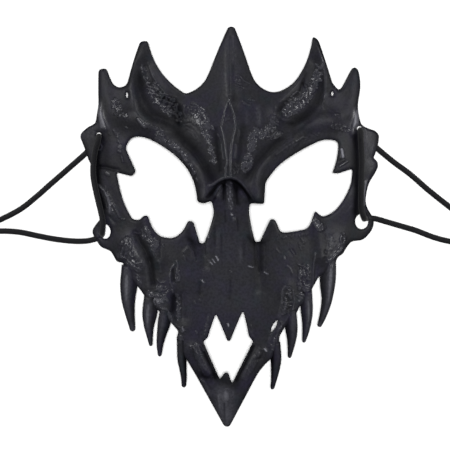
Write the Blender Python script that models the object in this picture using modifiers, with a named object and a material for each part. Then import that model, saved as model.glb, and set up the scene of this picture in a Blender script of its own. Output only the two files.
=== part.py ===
"""Monster-skull half mask: one moulded shell with a spiked crown, open eyes, fangs and a pointed jaw.

Two loops of round elastic run through the strap holes at the temples and end in a knot each.
The mask lies face up: +X to the right of the photo, +Y to the spikes, +Z out of the face.
Lengths in the tables are millimetres.
"""

import math
from typing import NamedTuple

import bmesh
import bpy
import numpy as np
from mathutils import Matrix, Vector

MM = 0.001

# Driving sizes of the shell
WALL = 2.8
SHEET_X = 192.0
SHEET_Y = 252.0
CELL = 4.8
MIDDLE_X = 0.9
FALL_AT = 80.0
PRISM_TOP = 90.0
OUTLINE_STEP = 5.0
CORNER_STEPS = 2

# Driving sizes of the elastic
CORD_DIAMETER = 3.5
CORD_STEP = 9.0
CORD_GROOVE = 0.45
KNOT_SIZE = (11.0, 9.6, 7.6)
KNOT_BITE = 2.0
KNOT_GAP = 0.3
KNOT_SEGMENTS = 12
KNOT_RINGS = 8
CORD_REST = 1.9
TAIL_LENGTH = 9.0
TAIL_SPREAD = 2.4
TAIL_STEPS = 3
TAIL_ROOT = 3.0
TAIL_OFFSET = 1.9

# Driving sizes of the holes
STRAP_HOLE_STEPS = 12


class Corner(NamedTuple):
    """A corner of an outline: its place, its rounding, and the bow of the edge to the next corner."""

    x: float
    y: float
    rounding: float
    bow: float


class Section(NamedTuple):
    """One cross line of the face: its height on the mask, depth at the middle, fall at FALL_AT."""

    y: float
    depth: float
    fall: float


class Ridge(NamedTuple):
    """A raised (or, below zero, sunk) line on the face."""

    name: str
    height: float
    spread: float
    line: tuple


class FangStation(NamedTuple):
    """A round section along a fang."""

    x: float
    y: float
    radius: float


class StrapHole(NamedTuple):
    """An oval hole that the elastic runs through."""

    name: str
    x: float
    y: float
    radius_x: float
    radius_y: float


# The rim of the shell, clockwise from the left horn
RIM = (
    Corner(-79.0, 94.7, 2.0, 0.0),
    Corner(-74.0, 95.5, 2.4, -0.5),
    Corner(-69.3, 84.4, 2.5, -0.9),
    Corner(-61.6, 85.2, 2.5, 0.5),
    Corner(-53.8, 111.1, 1.7, 0.3),
    Corner(-49.0, 111.4, 1.7, -4.3),
    Corner(-26.5, 79.6, 1.2, -2.3),
    Corner(-12.4, 92.0, 4.0, 0.3),
    Corner(-0.8, 120.0, 1.8, 0.0),
    Corner(2.7, 119.9, 1.8, 0.3),
    Corner(13.0, 91.0, 3.0, -2.3),
    Corner(26.5, 80.2, 3.0, -2.3),
    Corner(42.8, 92.6, 3.0, -1.2),
    Corner(49.8, 114.2, 1.4, 0.2),
    Corner(53.2, 112.2, 2.2, 0.2),
    Corner(61.6, 86.2, 2.0, 0.0),
    Corner(66.0, 81.2, 3.5, 0.0),
    Corner(73.7, 95.7, 1.8, 0.4),
    Corner(77.1, 95.0, 2.1, 0.8),
    Corner(78.2, 80.5, 3.0, -0.3),
    Corner(77.0, 70.5, 3.0, -0.2),
    Corner(79.2, 61.2, 2.0, -0.3),
    Corner(87.9, 57.8, 1.5, 0.0),
    Corner(90.0, 55.2, 1.2, 0.8),
    Corner(86.5, 41.6, 0.8, 0.0),
    Corner(89.4, 38.9, 2.0, 0.4),
    Corner(88.2, 33.3, 2.5, 0.0),
    Corner(84.0, 27.0, 3.0, -0.6),
    Corner(81.7, 13.5, 3.0, -0.2),
    Corner(86.2, 6.0, 2.5, 0.3),
    Corner(86.8, 0.2, 3.0, 0.6),
    Corner(80.0, -8.1, 2.5, 0.0),
    Corner(73.2, -8.6, 2.0, -0.3),
    Corner(68.0, -16.2, 1.0, 0.0),
    Corner(64.8, -18.2, 1.0, 0.0),
    Corner(62.0, -25.0, 1.0, 0.0),
    Corner(53.4, -30.0, 1.2, 0.0),
    Corner(49.3, -37.0, 1.0, 0.0),
    Corner(48.3, -44.0, 1.0, 0.0),
    Corner(42.0, -47.3, 1.0, 0.0),
    Corner(38.5, -55.0, 1.0, 0.0),
    Corner(33.0, -59.9, 1.0, 0.0),
    Corner(29.7, -65.6, 1.2, 0.0),
    Corner(29.3, -73.0, 1.0, 0.0),
    Corner(24.6, -79.2, 1.5, -0.6),
    Corner(15.8, -89.5, 3.0, 0.0),
    Corner(-0.2, -119.9, 1.6, 0.0),
    Corner(-3.2, -119.7, 1.6, 0.0),
    Corner(-19.3, -90.6, 3.0, 0.0),
    Corner(-25.9, -79.4, 1.2, 0.0),
    Corner(-29.5, -75.0, 1.0, 0.0),
    Corner(-32.0, -67.0, 1.5, 0.0),
    Corner(-30.6, -62.6, 1.2, 0.0),
    Corner(-34.4, -58.2, 1.0, 0.0),
    Corner(-42.0, -51.0, 1.0, 0.0),
    Corner(-51.0, -41.5, 1.0, 0.0),
    Corner(-54.2, -36.9, 1.0, 0.0),
    Corner(-60.0, -31.0, 1.0, 0.0),
    Corner(-64.2, -21.5, 1.0, 0.0),
    Corner(-67.8, -21.0, 1.2, 0.0),
    Corner(-71.4, -14.6, 2.0, 0.0),
    Corner(-77.5, -12.2, 1.5, 0.3),
    Corner(-83.3, -2.8, 2.5, 0.3),
    Corner(-77.6, 5.0, 1.5, 0.0),
    Corner(-80.0, 22.0, 3.0, 0.4),
    Corner(-82.8, 36.0, 3.0, 0.3),
    Corner(-86.4, 44.6, 2.0, 0.0),
    Corner(-90.7, 55.4, 3.0, 0.0),
    Corner(-86.0, 59.7, 2.0, 0.0),
    Corner(-80.8, 62.2, 2.0, 0.0),
    Corner(-78.9, 74.0, 3.0, 0.2),
)

LEFT_EYE = (
    Corner(-59.2, 53.6, 3.0, 0.2),
    Corner(-51.8, 54.1, 4.0, 1.5),
    Corner(-28.0, 38.3, 5.0, 2.1),
    Corner(-19.5, 15.0, 1.8, 0.0),
    Corner(-15.8, 13.8, 2.0, 0.0),
    Corner(-10.9, 15.5, 1.3, 0.0),
    Corner(-9.3, 9.0, 3.0, 0.5),
    Corner(-15.4, -9.9, 1.2, 0.0),
    Corner(-17.9, -9.8, 1.2, 0.0),
    Corner(-21.8, 3.1, 1.4, 0.0),
    Corner(-24.9, 3.7, 1.8, 0.4),
    Corner(-30.0, -4.8, 3.0, 0.5),
    Corner(-37.0, -7.1, 4.0, 0.5),
    Corner(-44.8, -3.6, 4.0, 0.3),
    Corner(-49.1, 6.7, 1.2, 0.0),
    Corner(-51.6, 6.6, 1.2, 0.0),
    Corner(-54.0, 4.1, 1.5, 0.0),
    Corner(-58.4, 4.3, 2.5, 0.0),
    Corner(-62.6, 12.0, 4.0, 0.4),
    Corner(-67.2, 28.5, 3.0, 0.2),
    Corner(-67.8, 32.6, 1.2, 0.0),
    Corner(-58.6, 30.3, 1.4, 0.0),
    Corner(-56.3, 33.2, 1.4, 0.0),
    Corner(-62.8, 47.6, 2.5, 0.0),
)

RIGHT_EYE = (
    Corner(56.5, 52.6, 4.0, 0.0),
    Corner(65.4, 51.6, 3.5, 0.0),
    Corner(64.8, 43.0, 3.0, 0.2),
    Corner(61.5, 32.2, 1.0, 0.0),
    Corner(65.2, 32.1, 1.0, 0.0),
    Corner(73.7, 34.8, 1.2, 0.0),
    Corner(73.2, 27.0, 3.0, 1.1),
    Corner(63.0, 9.2, 4.0, 0.3),
    Corner(55.3, 5.9, 2.0, 0.0),
    Corner(51.2, 9.5, 1.0, 0.0),
    Corner(49.9, 6.0, 1.5, 0.3),
    Corner(46.6, -1.4, 3.0, 0.0),
    Corner(38.0, -2.9, 3.0, 0.1),
    Corner(30.5, -3.6, 2.5, 0.0),
    Corner(27.2, 4.2, 1.4, 0.0),
    Corner(24.4, 4.8, 1.6, 0.0),
    Corner(18.0, -9.0, 1.2, 0.0),
    Corner(15.2, -9.0, 1.2, 0.4),
    Corner(11.4, 9.5, 3.0, 0.0),
    Corner(12.0, 14.2, 1.6, 0.0),
    Corner(20.6, 13.5, 1.8, 0.0),
    Corner(21.2, 26.5, 2.5, 0.1),
    Corner(28.8, 36.5, 4.0, 1.1),
)

MOUTH = (
    Corner(-15.9, -68.7, 1.0, 0.0),
    Corner(-13.2, -66.4, 1.2, 0.2),
    Corner(-8.3, -51.9, 1.4, 0.2),
    Corner(-1.4, -68.4, 1.2, 0.0),
    Corner(0.3, -68.2, 1.2, 0.2),
    Corner(7.9, -50.2, 1.4, 0.3),
    Corner(11.3, -65.2, 1.2, 0.0),
    Corner(14.0, -68.6, 1.0, 0.0),
    Corner(1.3, -94.0, 1.4, 0.0),
    Corner(-1.0, -87.2, 1.0, 0.0),
    Corner(-3.1, -87.3, 1.0, 0.0),
    Corner(-6.0, -91.4, 1.2, 0.0),
)

JAW_SLIT = (
    Corner(28.6, -55.6, 0.3, 1.0),
    Corner(24.5, -63.3, 0.3, 1.0),
)

STRAP_HOLES = (
    StrapHole("left_upper", -78.7, 54.4, 2.9, 2.9),
    StrapHole("left_lower", -75.4, -3.1, 3.8, 4.4),
    StrapHole("right_upper", 78.6, 58.0, 2.9, 2.9),
    StrapHole("right_lower", 79.6, 3.2, 3.9, 4.6),
)

# How the face falls back from its middle line to the temples, from the chin up
SECTIONS = (
    Section(-130.0, 27.0, 42.0),
    Section(-118.0, 31.0, 43.0),
    Section(-100.0, 39.0, 44.0),
    Section(-80.0, 45.5, 45.0),
    Section(-60.0, 49.5, 45.0),
    Section(-40.0, 51.5, 45.0),
    Section(-20.0, 52.5, 45.0),
    Section(-5.0, 53.0, 46.0),
    Section(10.0, 53.5, 43.0),
    Section(28.0, 54.0, 40.6),
    Section(45.0, 53.5, 40.2),
    Section(55.0, 52.6, 40.4),
    Section(65.0, 50.5, 38.0),
    Section(80.0, 46.0, 34.5),
    Section(100.0, 39.5, 32.0),
    Section(130.0, 28.0, 30.0),
)

# The main forms that stand out of the face or are sunk into it
RIDGES = (
    Ridge("left brow", 4.6, 6.5,
          ((-62, 66), (-48, 60), (-35, 53), (-25, 45), (-18.5, 35), (-15.5, 25), (-15.5, 17))),
    Ridge("right brow", 4.6, 6.5,
          ((60, 64), (45, 58), (32, 51), (23.5, 43), (17.5, 34), (16, 25), (16.5, 17))),
    Ridge("left spike crest", 2.6, 4.5,
          ((-51.5, 110), (-57, 91), (-58, 81), (-56, 70), (-49, 62))),
    Ridge("right spike crest", 2.6, 4.5,
          ((51.5, 111), (57.5, 94), (58, 79), (54, 69), (45, 62))),
    Ridge("left scoop", -5.0, 6.0,
          ((-51.5, 95), (-49.5, 83), (-44, 73), (-36, 67), (-28, 64))),
    Ridge("right scoop", -5.0, 6.0,
          ((52, 97), (51, 85), (46, 75), (39, 69), (31, 66))),
    Ridge("centre crest", 3.2, 5.0,
          ((1.3, 121), (1.0, 90), (0.7, 74))),
    Ridge("left horn crest", 1.2, 3.6,
          ((-76.5, 94), (-74.5, 80), (-71, 68))),
    Ridge("right horn crest", 1.2, 3.6,
          ((75.5, 94), (74.5, 80), (71, 68))),
    Ridge("left cheek fold", 2.6, 4.0,
          ((-51, 4), (-49, -8), (-43, -20))),
    Ridge("right cheek fold", 2.6, 4.0,
          ((51, 6), (54, -6), (55, -18))),
    Ridge("left cheek knob", 3.0, 7.0,
          ((-62, -10), (-57, -18))),
    Ridge("right cheek knob", 3.0, 7.0,
          ((66, -8), (60, -18))),
    Ridge("left notch groove", -2.2, 2.6,
          ((-16.6, -9), (-15.5, -24))),
    Ridge("right notch groove", -2.2, 2.8,
          ((17, -9), (19.5, -38))),
    Ridge("left jaw pit", -3.6, 4.0,
          ((-31, -44), (-30, -54))),
    Ridge("right jaw band", 1.8, 3.5,
          ((34, -36), (33, -48), (25.5, -68))),
    Ridge("left jaw arm", 3.0, 4.8,
          ((-20.5, -74), (-14, -87), (-6.5, -101))),
    Ridge("right jaw arm", 3.0, 4.8,
          ((19.5, -74), (12.5, -87), (5, -101))),
    Ridge("chin crest", 2.4, 5.0,
          ((-1, -99), (-1.7, -119))),
)

# The brow stands out over the nose and ends below in an arched lip
BROW_STAND = 5.0
LIP_MIDDLE = (1.2, 27.6)
LIP_DROP = 13.4
LIP_HALF_WIDTH = 11.4
LIP_SOFTNESS = 2.0
BROW_REACH_X = 24.0
BROW_FADE_Y = (34.0, 66.0)

# Fangs, from the root down to the tip
FANG_SINK = 0.55
FANG_CURL = 5.0
FANG_STEPS = 8
FANGS = {
    "left_1": ((-60.0, -23.0, 4.6), (-60.5, -35.0, 5.1), (-60.8, -44.0, 4.1), (-59.9, -52.3, 2.9),
               (-58.4, -61.2, 1.7)),
    "left_2": ((-47.0, -41.5, 4.2), (-47.9, -51.7, 4.5), (-48.4, -58.9, 3.2), (-48.0, -64.9, 2.0),
               (-47.4, -70.5, 1.1)),
    "left_3": ((-38.0, -49.5, 3.6), (-39.4, -57.7, 3.8), (-40.7, -63.7, 3.0), (-41.8, -70.3, 2.1),
               (-42.0, -76.6, 1.2)),
    "left_4": ((-28.9, -68.0, 2.8), (-28.7, -78.7, 2.8), (-28.1, -84.7, 2.2), (-27.5, -90.7, 1.7),
               (-27.5, -95.0, 1.4)),
    "right_1": ((59.7, -19.0, 4.2), (58.9, -31.9, 4.8), (58.3, -43.9, 3.2), (56.1, -52.9, 2.2),
                (54.0, -58.8, 1.4)),
    "right_2": ((45.6, -38.5, 3.7), (46.2, -49.9, 3.6), (46.2, -57.1, 2.8), (45.4, -63.7, 1.9),
                (44.5, -68.4, 1.1)),
    "right_3": ((36.1, -49.5, 3.6), (36.8, -59.5, 3.8), (37.1, -65.5, 3.1), (36.7, -71.5, 2.1),
                (35.9, -77.6, 1.1)),
    "right_4": ((27.0, -69.0, 3.0), (27.6, -78.7, 3.2), (27.3, -84.7, 2.7), (26.5, -91.3, 1.8),
                (25.6, -96.4, 1.2)),
}

# Routes of the elastic, from the knot along the lower strand, through both holes and back
CORD_ROUTES = {
    "left": (
        (-160.5, -3.6, 2.0), (-150.0, -3.7, 1.9), (-138.0, -2.6, 1.9), (-127.0, -3.2, 1.9),
        (-116.0, -5.4, 1.9), (-105.5, -7.4, 1.9), (-95.0, -8.6, 1.9), (-87.0, -8.6, 1.9),
        (-81.4, -7.5, 2.2), (-78.2, -6.0, 4.4), (-76.9, -4.4, 8.4), (-76.8, -3.8, 12.6),
        (-76.4, -1.2, 15.4), (-76.4, 3.6, 16.2), (-77.6, 9.6, 15.6), (-80.2, 20.4, 14.4),
        (-82.0, 30.0, 13.5), (-82.0, 38.6, 13.6), (-80.8, 46.0, 14.9), (-79.4, 51.0, 16.6),
        (-78.8, 53.7, 15.8), (-78.7, 54.5, 12.8), (-78.8, 54.0, 9.0), (-79.6, 52.4, 5.4),
        (-81.6, 49.6, 2.8), (-86.6, 44.4, 1.9), (-97.0, 35.2, 1.9), (-107.9, 25.7, 1.9),
        (-116.4, 18.2, 1.9), (-126.1, 10.6, 1.9), (-138.0, 4.4, 1.9), (-148.0, 0.9, 1.9),
        (-160.5, 0.3, 2.0),
    ),
    "right": (
        (166.5, -12.4, 2.0), (158.0, -12.2, 1.9), (145.0, -10.6, 1.9), (132.0, -8.7, 1.9),
        (122.5, -6.2, 1.9), (112.0, -2.2, 1.9), (103.6, 0.3, 1.9), (93.0, 3.4, 1.9),
        (87.6, 4.9, 1.9), (83.6, 5.2, 3.5), (81.3, 5.0, 8.0), (81.0, 5.0, 12.4),
        (80.2, 7.0, 15.6), (79.0, 12.0, 16.4), (79.0, 20.0, 17.3), (79.2, 30.0, 17.9),
        (79.4, 40.0, 17.9), (79.0, 49.0, 17.8), (78.7, 54.4, 18.2), (78.6, 57.3, 16.5),
        (78.6, 58.1, 13.0), (78.8, 57.6, 9.0), (79.8, 56.0, 5.4), (82.4, 53.0, 2.9),
        (88.4, 47.6, 1.9), (98.0, 39.6, 1.9), (109.0, 31.4, 1.9), (119.8, 22.0, 1.9),
        (132.0, 12.3, 1.9), (144.0, 3.0, 1.9), (156.0, -5.6, 1.9), (166.5, -8.5, 2.0),
    ),
}

SHELL_COLOUR = (0.012, 0.012, 0.014, 1.0)
ELASTIC_COLOUR = (0.02, 0.02, 0.022, 1.0)


def clear_scene():
    """Remove every object of the open scene."""
    for thing in list(bpy.data.objects):
        bpy.data.objects.remove(thing, do_unlink=True)


def new_collection(name):
    """Make a collection in the scene."""
    collection = bpy.data.collections.new(name)
    bpy.context.scene.collection.children.link(collection)
    return collection


def new_object(name, data, collection):
    """Link a new object for a mesh or curve."""
    thing = bpy.data.objects.new(name, data)
    collection.objects.link(thing)
    return thing


def make_cutter(thing):
    """Keep a cutter out of the render and draw it as wire."""
    thing.hide_render = True
    thing.display_type = "WIRE"


def principled(name, colour, roughness):
    """Make a plain material."""
    material = bpy.data.materials.new(name)
    material.use_nodes = True
    shader = material.node_tree.nodes["Principled BSDF"]
    shader.inputs["Base Color"].default_value = colour
    shader.inputs["Roughness"].default_value = roughness
    shader.inputs["Metallic"].default_value = 0.0
    return material


def smooth_through(values, places, where):
    """Read a smooth curve through rows of values at rising places."""
    slopes = np.gradient(values, places)
    index = np.clip(np.searchsorted(places, where) - 1, 0, len(places) - 2)
    span = places[index + 1] - places[index]
    t = np.clip((where - places[index]) / span, 0.0, 1.0)
    start = values[index] * (2 * t**3 - 3 * t**2 + 1) + slopes[index] * span * (t**3 - 2 * t**2 + t)
    end = values[index + 1] * (3 * t**2 - 2 * t**3) + slopes[index + 1] * span * (t**3 - t**2)
    return start + end


def smooth_step(low, high, value):
    """Rise smoothly from 0 at low to 1 at high."""
    t = np.clip((value - low) / (high - low), 0.0, 1.0)
    return t * t * (3.0 - 2.0 * t)


def distance_to_line(x, y, line):
    """Distance of points from a line of straight pieces."""
    nearest = np.full(np.shape(x), 1.0e9)
    for (ax, ay), (bx, by) in zip(line, line[1:]):
        run_x, run_y = bx - ax, by - ay
        t = np.clip(((x - ax) * run_x + (y - ay) * run_y) / (run_x**2 + run_y**2), 0.0, 1.0)
        nearest = np.minimum(nearest, np.hypot(x - ax - t * run_x, y - ay - t * run_y))
    return nearest


def face_depth(x, y):
    """Depth of the plain curved face, before its ridges."""
    places = np.array([section.y for section in SECTIONS])
    depths = np.array([section.depth for section in SECTIONS])
    falls = np.array([section.fall for section in SECTIONS])
    depth = smooth_through(depths, places, y)
    fall = smooth_through(falls, places, y)
    return depth - fall * ((x - MIDDLE_X) / FALL_AT)**2


def brow_stand(x, y):
    """Height of the brow over the nose, ending below in an arched lip."""
    across = (x - LIP_MIDDLE[0]) / LIP_HALF_WIDTH
    lip = LIP_MIDDLE[1] - LIP_DROP * np.minimum(across**2, 1.0)
    above_lip = smooth_step(-LIP_SOFTNESS, LIP_SOFTNESS, y - lip)
    fade_up = 1.0 - smooth_step(BROW_FADE_Y[0], BROW_FADE_Y[1], y)
    fade_out = 1.0 - smooth_step(LIP_HALF_WIDTH, BROW_REACH_X, np.abs(x - LIP_MIDDLE[0]))
    return BROW_STAND * above_lip * fade_up * fade_out


def shell_height(x, y):
    """Height of the front of the shell over the floor."""
    height = face_depth(x, y) + brow_stand(x, y)
    for ridge in RIDGES:
        distance = distance_to_line(x, y, ridge.line)
        height = height + ridge.height * np.exp(-(distance / ridge.spread)**2)
    return height


def edge_points(start, end, step):
    """Points along the edge from one corner to the next, short of both roundings."""
    run = Vector((end.x - start.x, end.y - start.y))
    length = run.length
    outward = Vector((-run.y, run.x)) / length
    first = min(0.45, start.rounding / length)
    last = 1.0 - min(0.45, end.rounding / length)
    sag = abs(start.bow)
    count = max(1, round(length / step), math.ceil(math.sqrt(sag) * 2.0))
    points = []
    for index in range(count + 1):
        t = first + (last - first) * index / count
        place = Vector((start.x, start.y)) + run * t + outward * (start.bow * 4.0 * t * (1.0 - t))
        points.append(place)
    return points


def outline_points(corners):
    """Points of a closed outline with its corners rounded."""
    edges = []
    for index, corner in enumerate(corners):
        edges.append(edge_points(corner, corners[(index + 1) % len(corners)], OUTLINE_STEP))
    points = []
    for index, corner in enumerate(corners):
        before = edges[index - 1][-1]
        after = edges[index][0]
        peak = Vector((corner.x, corner.y))
        for step in range(1, CORNER_STEPS):
            t = step / CORNER_STEPS
            points.append(before * (1 - t)**2 + peak * 2 * t * (1 - t) + after * t**2)
        points.extend(edges[index])
    return points


def hole_points(hole):
    """Points round an oval strap hole."""
    points = []
    for index in range(STRAP_HOLE_STEPS):
        angle = 2.0 * math.pi * index / STRAP_HOLE_STEPS
        points.append(Vector((hole.x + hole.radius_x * math.cos(angle),
                              hole.y + hole.radius_y * math.sin(angle))))
    return points


def add_poly(curve, points, closed):
    """Add a straight-edged spline through points in millimetres."""
    spline = curve.splines.new("POLY")
    spline.points.add(len(points) - 1)
    for slot, point in zip(spline.points, points):
        place = Vector(point).to_3d() * MM
        slot.co = (place.x, place.y, place.z, 1.0)
    spline.use_cyclic_u = closed
    return spline


def meshed(thing, collection):
    """Turn a curve object into a mesh object with its caps welded."""
    bpy.context.view_layer.update()
    evaluated = thing.evaluated_get(bpy.context.evaluated_depsgraph_get())
    mesh = bpy.data.meshes.new_from_object(evaluated)
    welder = bmesh.new()
    welder.from_mesh(mesh)
    bmesh.ops.remove_doubles(welder, verts=welder.verts, dist=0.00001)
    bmesh.ops.recalc_face_normals(welder, faces=welder.faces)
    welder.to_mesh(mesh)
    welder.free()
    result = new_object(thing.name + "_mesh", mesh, collection)
    result.matrix_world = thing.matrix_world.copy()
    bpy.data.objects.remove(thing, do_unlink=True)
    return result


def outline_prism(collection):
    """The outline with its holes, standing on the floor as a tall prism."""
    curve = bpy.data.curves.new("outline", "CURVE")
    curve.dimensions = "2D"
    curve.fill_mode = "BOTH"
    curve.extrude = PRISM_TOP / 2.0 * MM
    for corners in (RIM, LEFT_EYE, RIGHT_EYE, MOUTH, JAW_SLIT):
        add_poly(curve, outline_points(corners), True)
    for hole in STRAP_HOLES:
        add_poly(curve, hole_points(hole), True)
    thing = new_object("outline", curve, collection)
    thing.location.z = PRISM_TOP / 2.0 * MM
    prism = meshed(thing, collection)
    make_cutter(prism)
    return prism


def fang_points(stations):
    """Smooth stations of a fang with its depth, from the root to the tip."""
    rows = [FangStation(*row) for row in stations]
    places = np.linspace(0.0, 1.0, len(rows))
    where = np.linspace(0.0, 1.0, FANG_STEPS)
    x = smooth_through(np.array([row.x for row in rows]), places, where)
    y = smooth_through(np.array([row.y for row in rows]), places, where)
    radius = smooth_through(np.array([row.radius for row in rows]), places, where)
    z = face_depth(x, y) - FANG_SINK * radius - FANG_CURL * where**2
    return [(Vector((x[i], y[i], z[i])), radius[i]) for i in range(FANG_STEPS)]


def fang_bodies(collection):
    """All fangs, each a tapered round body, ready to be joined to the shell."""
    curve = bpy.data.curves.new("fangs", "CURVE")
    curve.dimensions = "3D"
    curve.bevel_depth = MM
    curve.bevel_resolution = 2
    curve.use_fill_caps = True
    for stations in FANGS.values():
        points = fang_points(stations)
        spline = add_poly(curve, [place for place, _ in points], False)
        for slot, (_, radius) in zip(spline.points, points):
            slot.radius = radius
    fangs = meshed(new_object("fangs", curve, collection), collection)
    make_cutter(fangs)
    return fangs


def cord_points(route):
    """Points of the elastic, read from a smooth curve through its route."""
    knots = [Vector(place) for place in route]
    points = [knots[0]]
    for index in range(len(knots) - 1):
        before = knots[max(index - 1, 0)]
        start, end = knots[index], knots[index + 1]
        after = knots[min(index + 2, len(knots) - 1)]
        count = max(1, round((end - start).length / CORD_STEP))
        for step in range(1, count + 1):
            t = step / count
            points.append(0.5 * (2.0 * start + (end - before) * t
                                 + (2.0 * before - 5.0 * start + 4.0 * end - after) * t**2
                                 + (3.0 * start - before - 3.0 * end + after) * t**3))
    return points


def cord_curve(name, route, radius, collection):
    """A round tube along the elastic's route."""
    curve = bpy.data.curves.new(name, "CURVE")
    curve.dimensions = "3D"
    curve.bevel_depth = radius * MM
    curve.bevel_resolution = 2
    curve.use_fill_caps = True
    add_poly(curve, cord_points(route), False)
    return new_object(name, curve, collection)


def add_boolean(thing, cutter, operation):
    """Cut or join with the exact solver."""
    modifier = thing.modifiers.new(operation.lower(), "BOOLEAN")
    modifier.operation = operation
    modifier.solver = "EXACT"
    modifier.object = cutter


def shell_sheet():
    """The curved front of the face as an open grid, with its ridges and hollows."""
    sheet = bmesh.new()
    bmesh.ops.create_grid(sheet, x_segments=round(SHEET_X / CELL), y_segments=round(SHEET_Y / CELL),
                          size=0.5, matrix=Matrix.Diagonal((SHEET_X, SHEET_Y, 1.0, 1.0)))
    x = np.array([vertex.co.x for vertex in sheet.verts])
    y = np.array([vertex.co.y for vertex in sheet.verts])
    for vertex, height in zip(sheet.verts, shell_height(x, y)):
        vertex.co = Vector((vertex.co.x, vertex.co.y, height)) * MM
    mesh = bpy.data.meshes.new("mask_shell")
    sheet.to_mesh(mesh)
    sheet.free()
    mesh.shade_smooth()
    return mesh


def mask_shell(parts, cutters):
    """The one moulding: the sheet given its wall, cut to the outline, with the fangs joined."""
    shell = new_object("mask_shell", shell_sheet(), parts)
    wall = shell.modifiers.new("wall", "SOLIDIFY")
    wall.thickness = WALL * MM
    wall.offset = -1.0
    add_boolean(shell, outline_prism(cutters), "INTERSECT")
    add_boolean(shell, fang_bodies(cutters), "UNION")
    for side, route in CORD_ROUTES.items():
        groove_radius = CORD_DIAMETER / 2.0 + CORD_GROOVE
        groove = meshed(cord_curve(side + "_groove", route, groove_radius, cutters), cutters)
        make_cutter(groove)
        add_boolean(shell, groove, "DIFFERENCE")
    shell.data.materials.append(principled("moulded plastic", SHELL_COLOUR, 0.35))


def elastic(side, parts):
    """The loop of round elastic on one side, open at the knot's face."""
    cord = cord_curve("elastic_" + side, CORD_ROUTES[side], CORD_DIAMETER / 2.0, parts)
    cord.data.materials.append(principled("braided elastic " + side, ELASTIC_COLOUR, 0.8))


def knot_lump(face_x, middle_y, outward):
    """A rounded lump on the floor, cut flat where the elastic's two ends meet it."""
    centre_x = face_x + outward * (KNOT_SIZE[0] / 2.0 - KNOT_BITE)
    size = Matrix.Diagonal((KNOT_SIZE[0], KNOT_SIZE[1], KNOT_SIZE[2], 1.0))
    place = Matrix.Translation((centre_x, middle_y, KNOT_SIZE[2] / 2.0))
    lump = bmesh.new()
    bmesh.ops.create_uvsphere(lump, u_segments=KNOT_SEGMENTS, v_segments=KNOT_RINGS, radius=0.5,
                              matrix=Matrix.Scale(MM, 4) @ place @ size)
    cut = bmesh.ops.bisect_plane(lump, geom=lump.verts[:] + lump.edges[:] + lump.faces[:],
                                 plane_co=(face_x * MM, 0.0, 0.0), plane_no=(-outward, 0.0, 0.0),
                                 clear_outer=True)
    rim = [item for item in cut["geom_cut"] if isinstance(item, bmesh.types.BMEdge)]
    bmesh.ops.holes_fill(lump, edges=rim)
    bmesh.ops.recalc_face_normals(lump, faces=lump.faces)
    mesh = bpy.data.meshes.new("knot")
    lump.to_mesh(mesh)
    lump.free()
    mesh.set_sharp_from_angle(angle=math.radians(50.0))
    return mesh


def knot_tails(face_x, middle_y, outward, cutters):
    """The two cut ends of the elastic that stand out of the knot."""
    curve = bpy.data.curves.new("tails", "CURVE")
    curve.dimensions = "3D"
    curve.bevel_depth = CORD_DIAMETER / 2.0 * MM
    curve.bevel_resolution = 2
    curve.use_fill_caps = True
    root_x = face_x + outward * (KNOT_SIZE[0] - KNOT_BITE - TAIL_ROOT)
    for sign in (-1.0, 1.0):
        points = []
        for step in range(TAIL_STEPS + 1):
            t = step / TAIL_STEPS
            points.append(Vector((root_x + outward * TAIL_LENGTH * t,
                                  middle_y + sign * (TAIL_OFFSET + TAIL_SPREAD * t * t),
                                  CORD_REST)))
        add_poly(curve, points, False)
    tails = meshed(new_object("tails", curve, cutters), cutters)
    make_cutter(tails)
    return tails


def knot(side, parts, cutters):
    """The knot that ties both ends of one loop."""
    first = Vector(CORD_ROUTES[side][0])
    last = Vector(CORD_ROUTES[side][-1])
    outward = math.copysign(1.0, first.x)
    face_x = first.x + outward * KNOT_GAP
    middle_y = (first.y + last.y) / 2.0
    mesh = knot_lump(face_x, middle_y, outward)
    lump = new_object("knot_" + side, mesh, parts)
    add_boolean(lump, knot_tails(face_x, middle_y, outward, cutters), "UNION")
    lump.data.materials.append(principled("knotted elastic " + side, ELASTIC_COLOUR, 0.8))


def build():
    """Build every piece."""
    clear_scene()
    parts = new_collection("skull_mask")
    cutters = new_collection("cutters")
    mask_shell(parts, cutters)
    for side in CORD_ROUTES:
        elastic(side, parts)
        knot(side, parts, cutters)


build()
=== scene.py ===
"""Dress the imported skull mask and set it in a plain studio.

The shell is meshed again from the same outline and sections as the solid model, finely enough to carry
the cast relief: brow bands, scoops, veins, lip, gums and jaw. The fangs, the braided elastic and its
knots are pieces of their own. The mask lies face up: +X right, +Y to the spikes, +Z out of the face.
Lengths in the tables and in the classes' sizes are millimetres.
"""

from __future__ import annotations

import logging
import math
from dataclasses import dataclass
from enum import Enum
from typing import NamedTuple, Sequence

import bmesh
import bpy
import numpy as np
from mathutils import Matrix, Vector, noise
from mathutils.geometry import delaunay_2d_cdt
from mathutils.kdtree import KDTree

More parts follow.
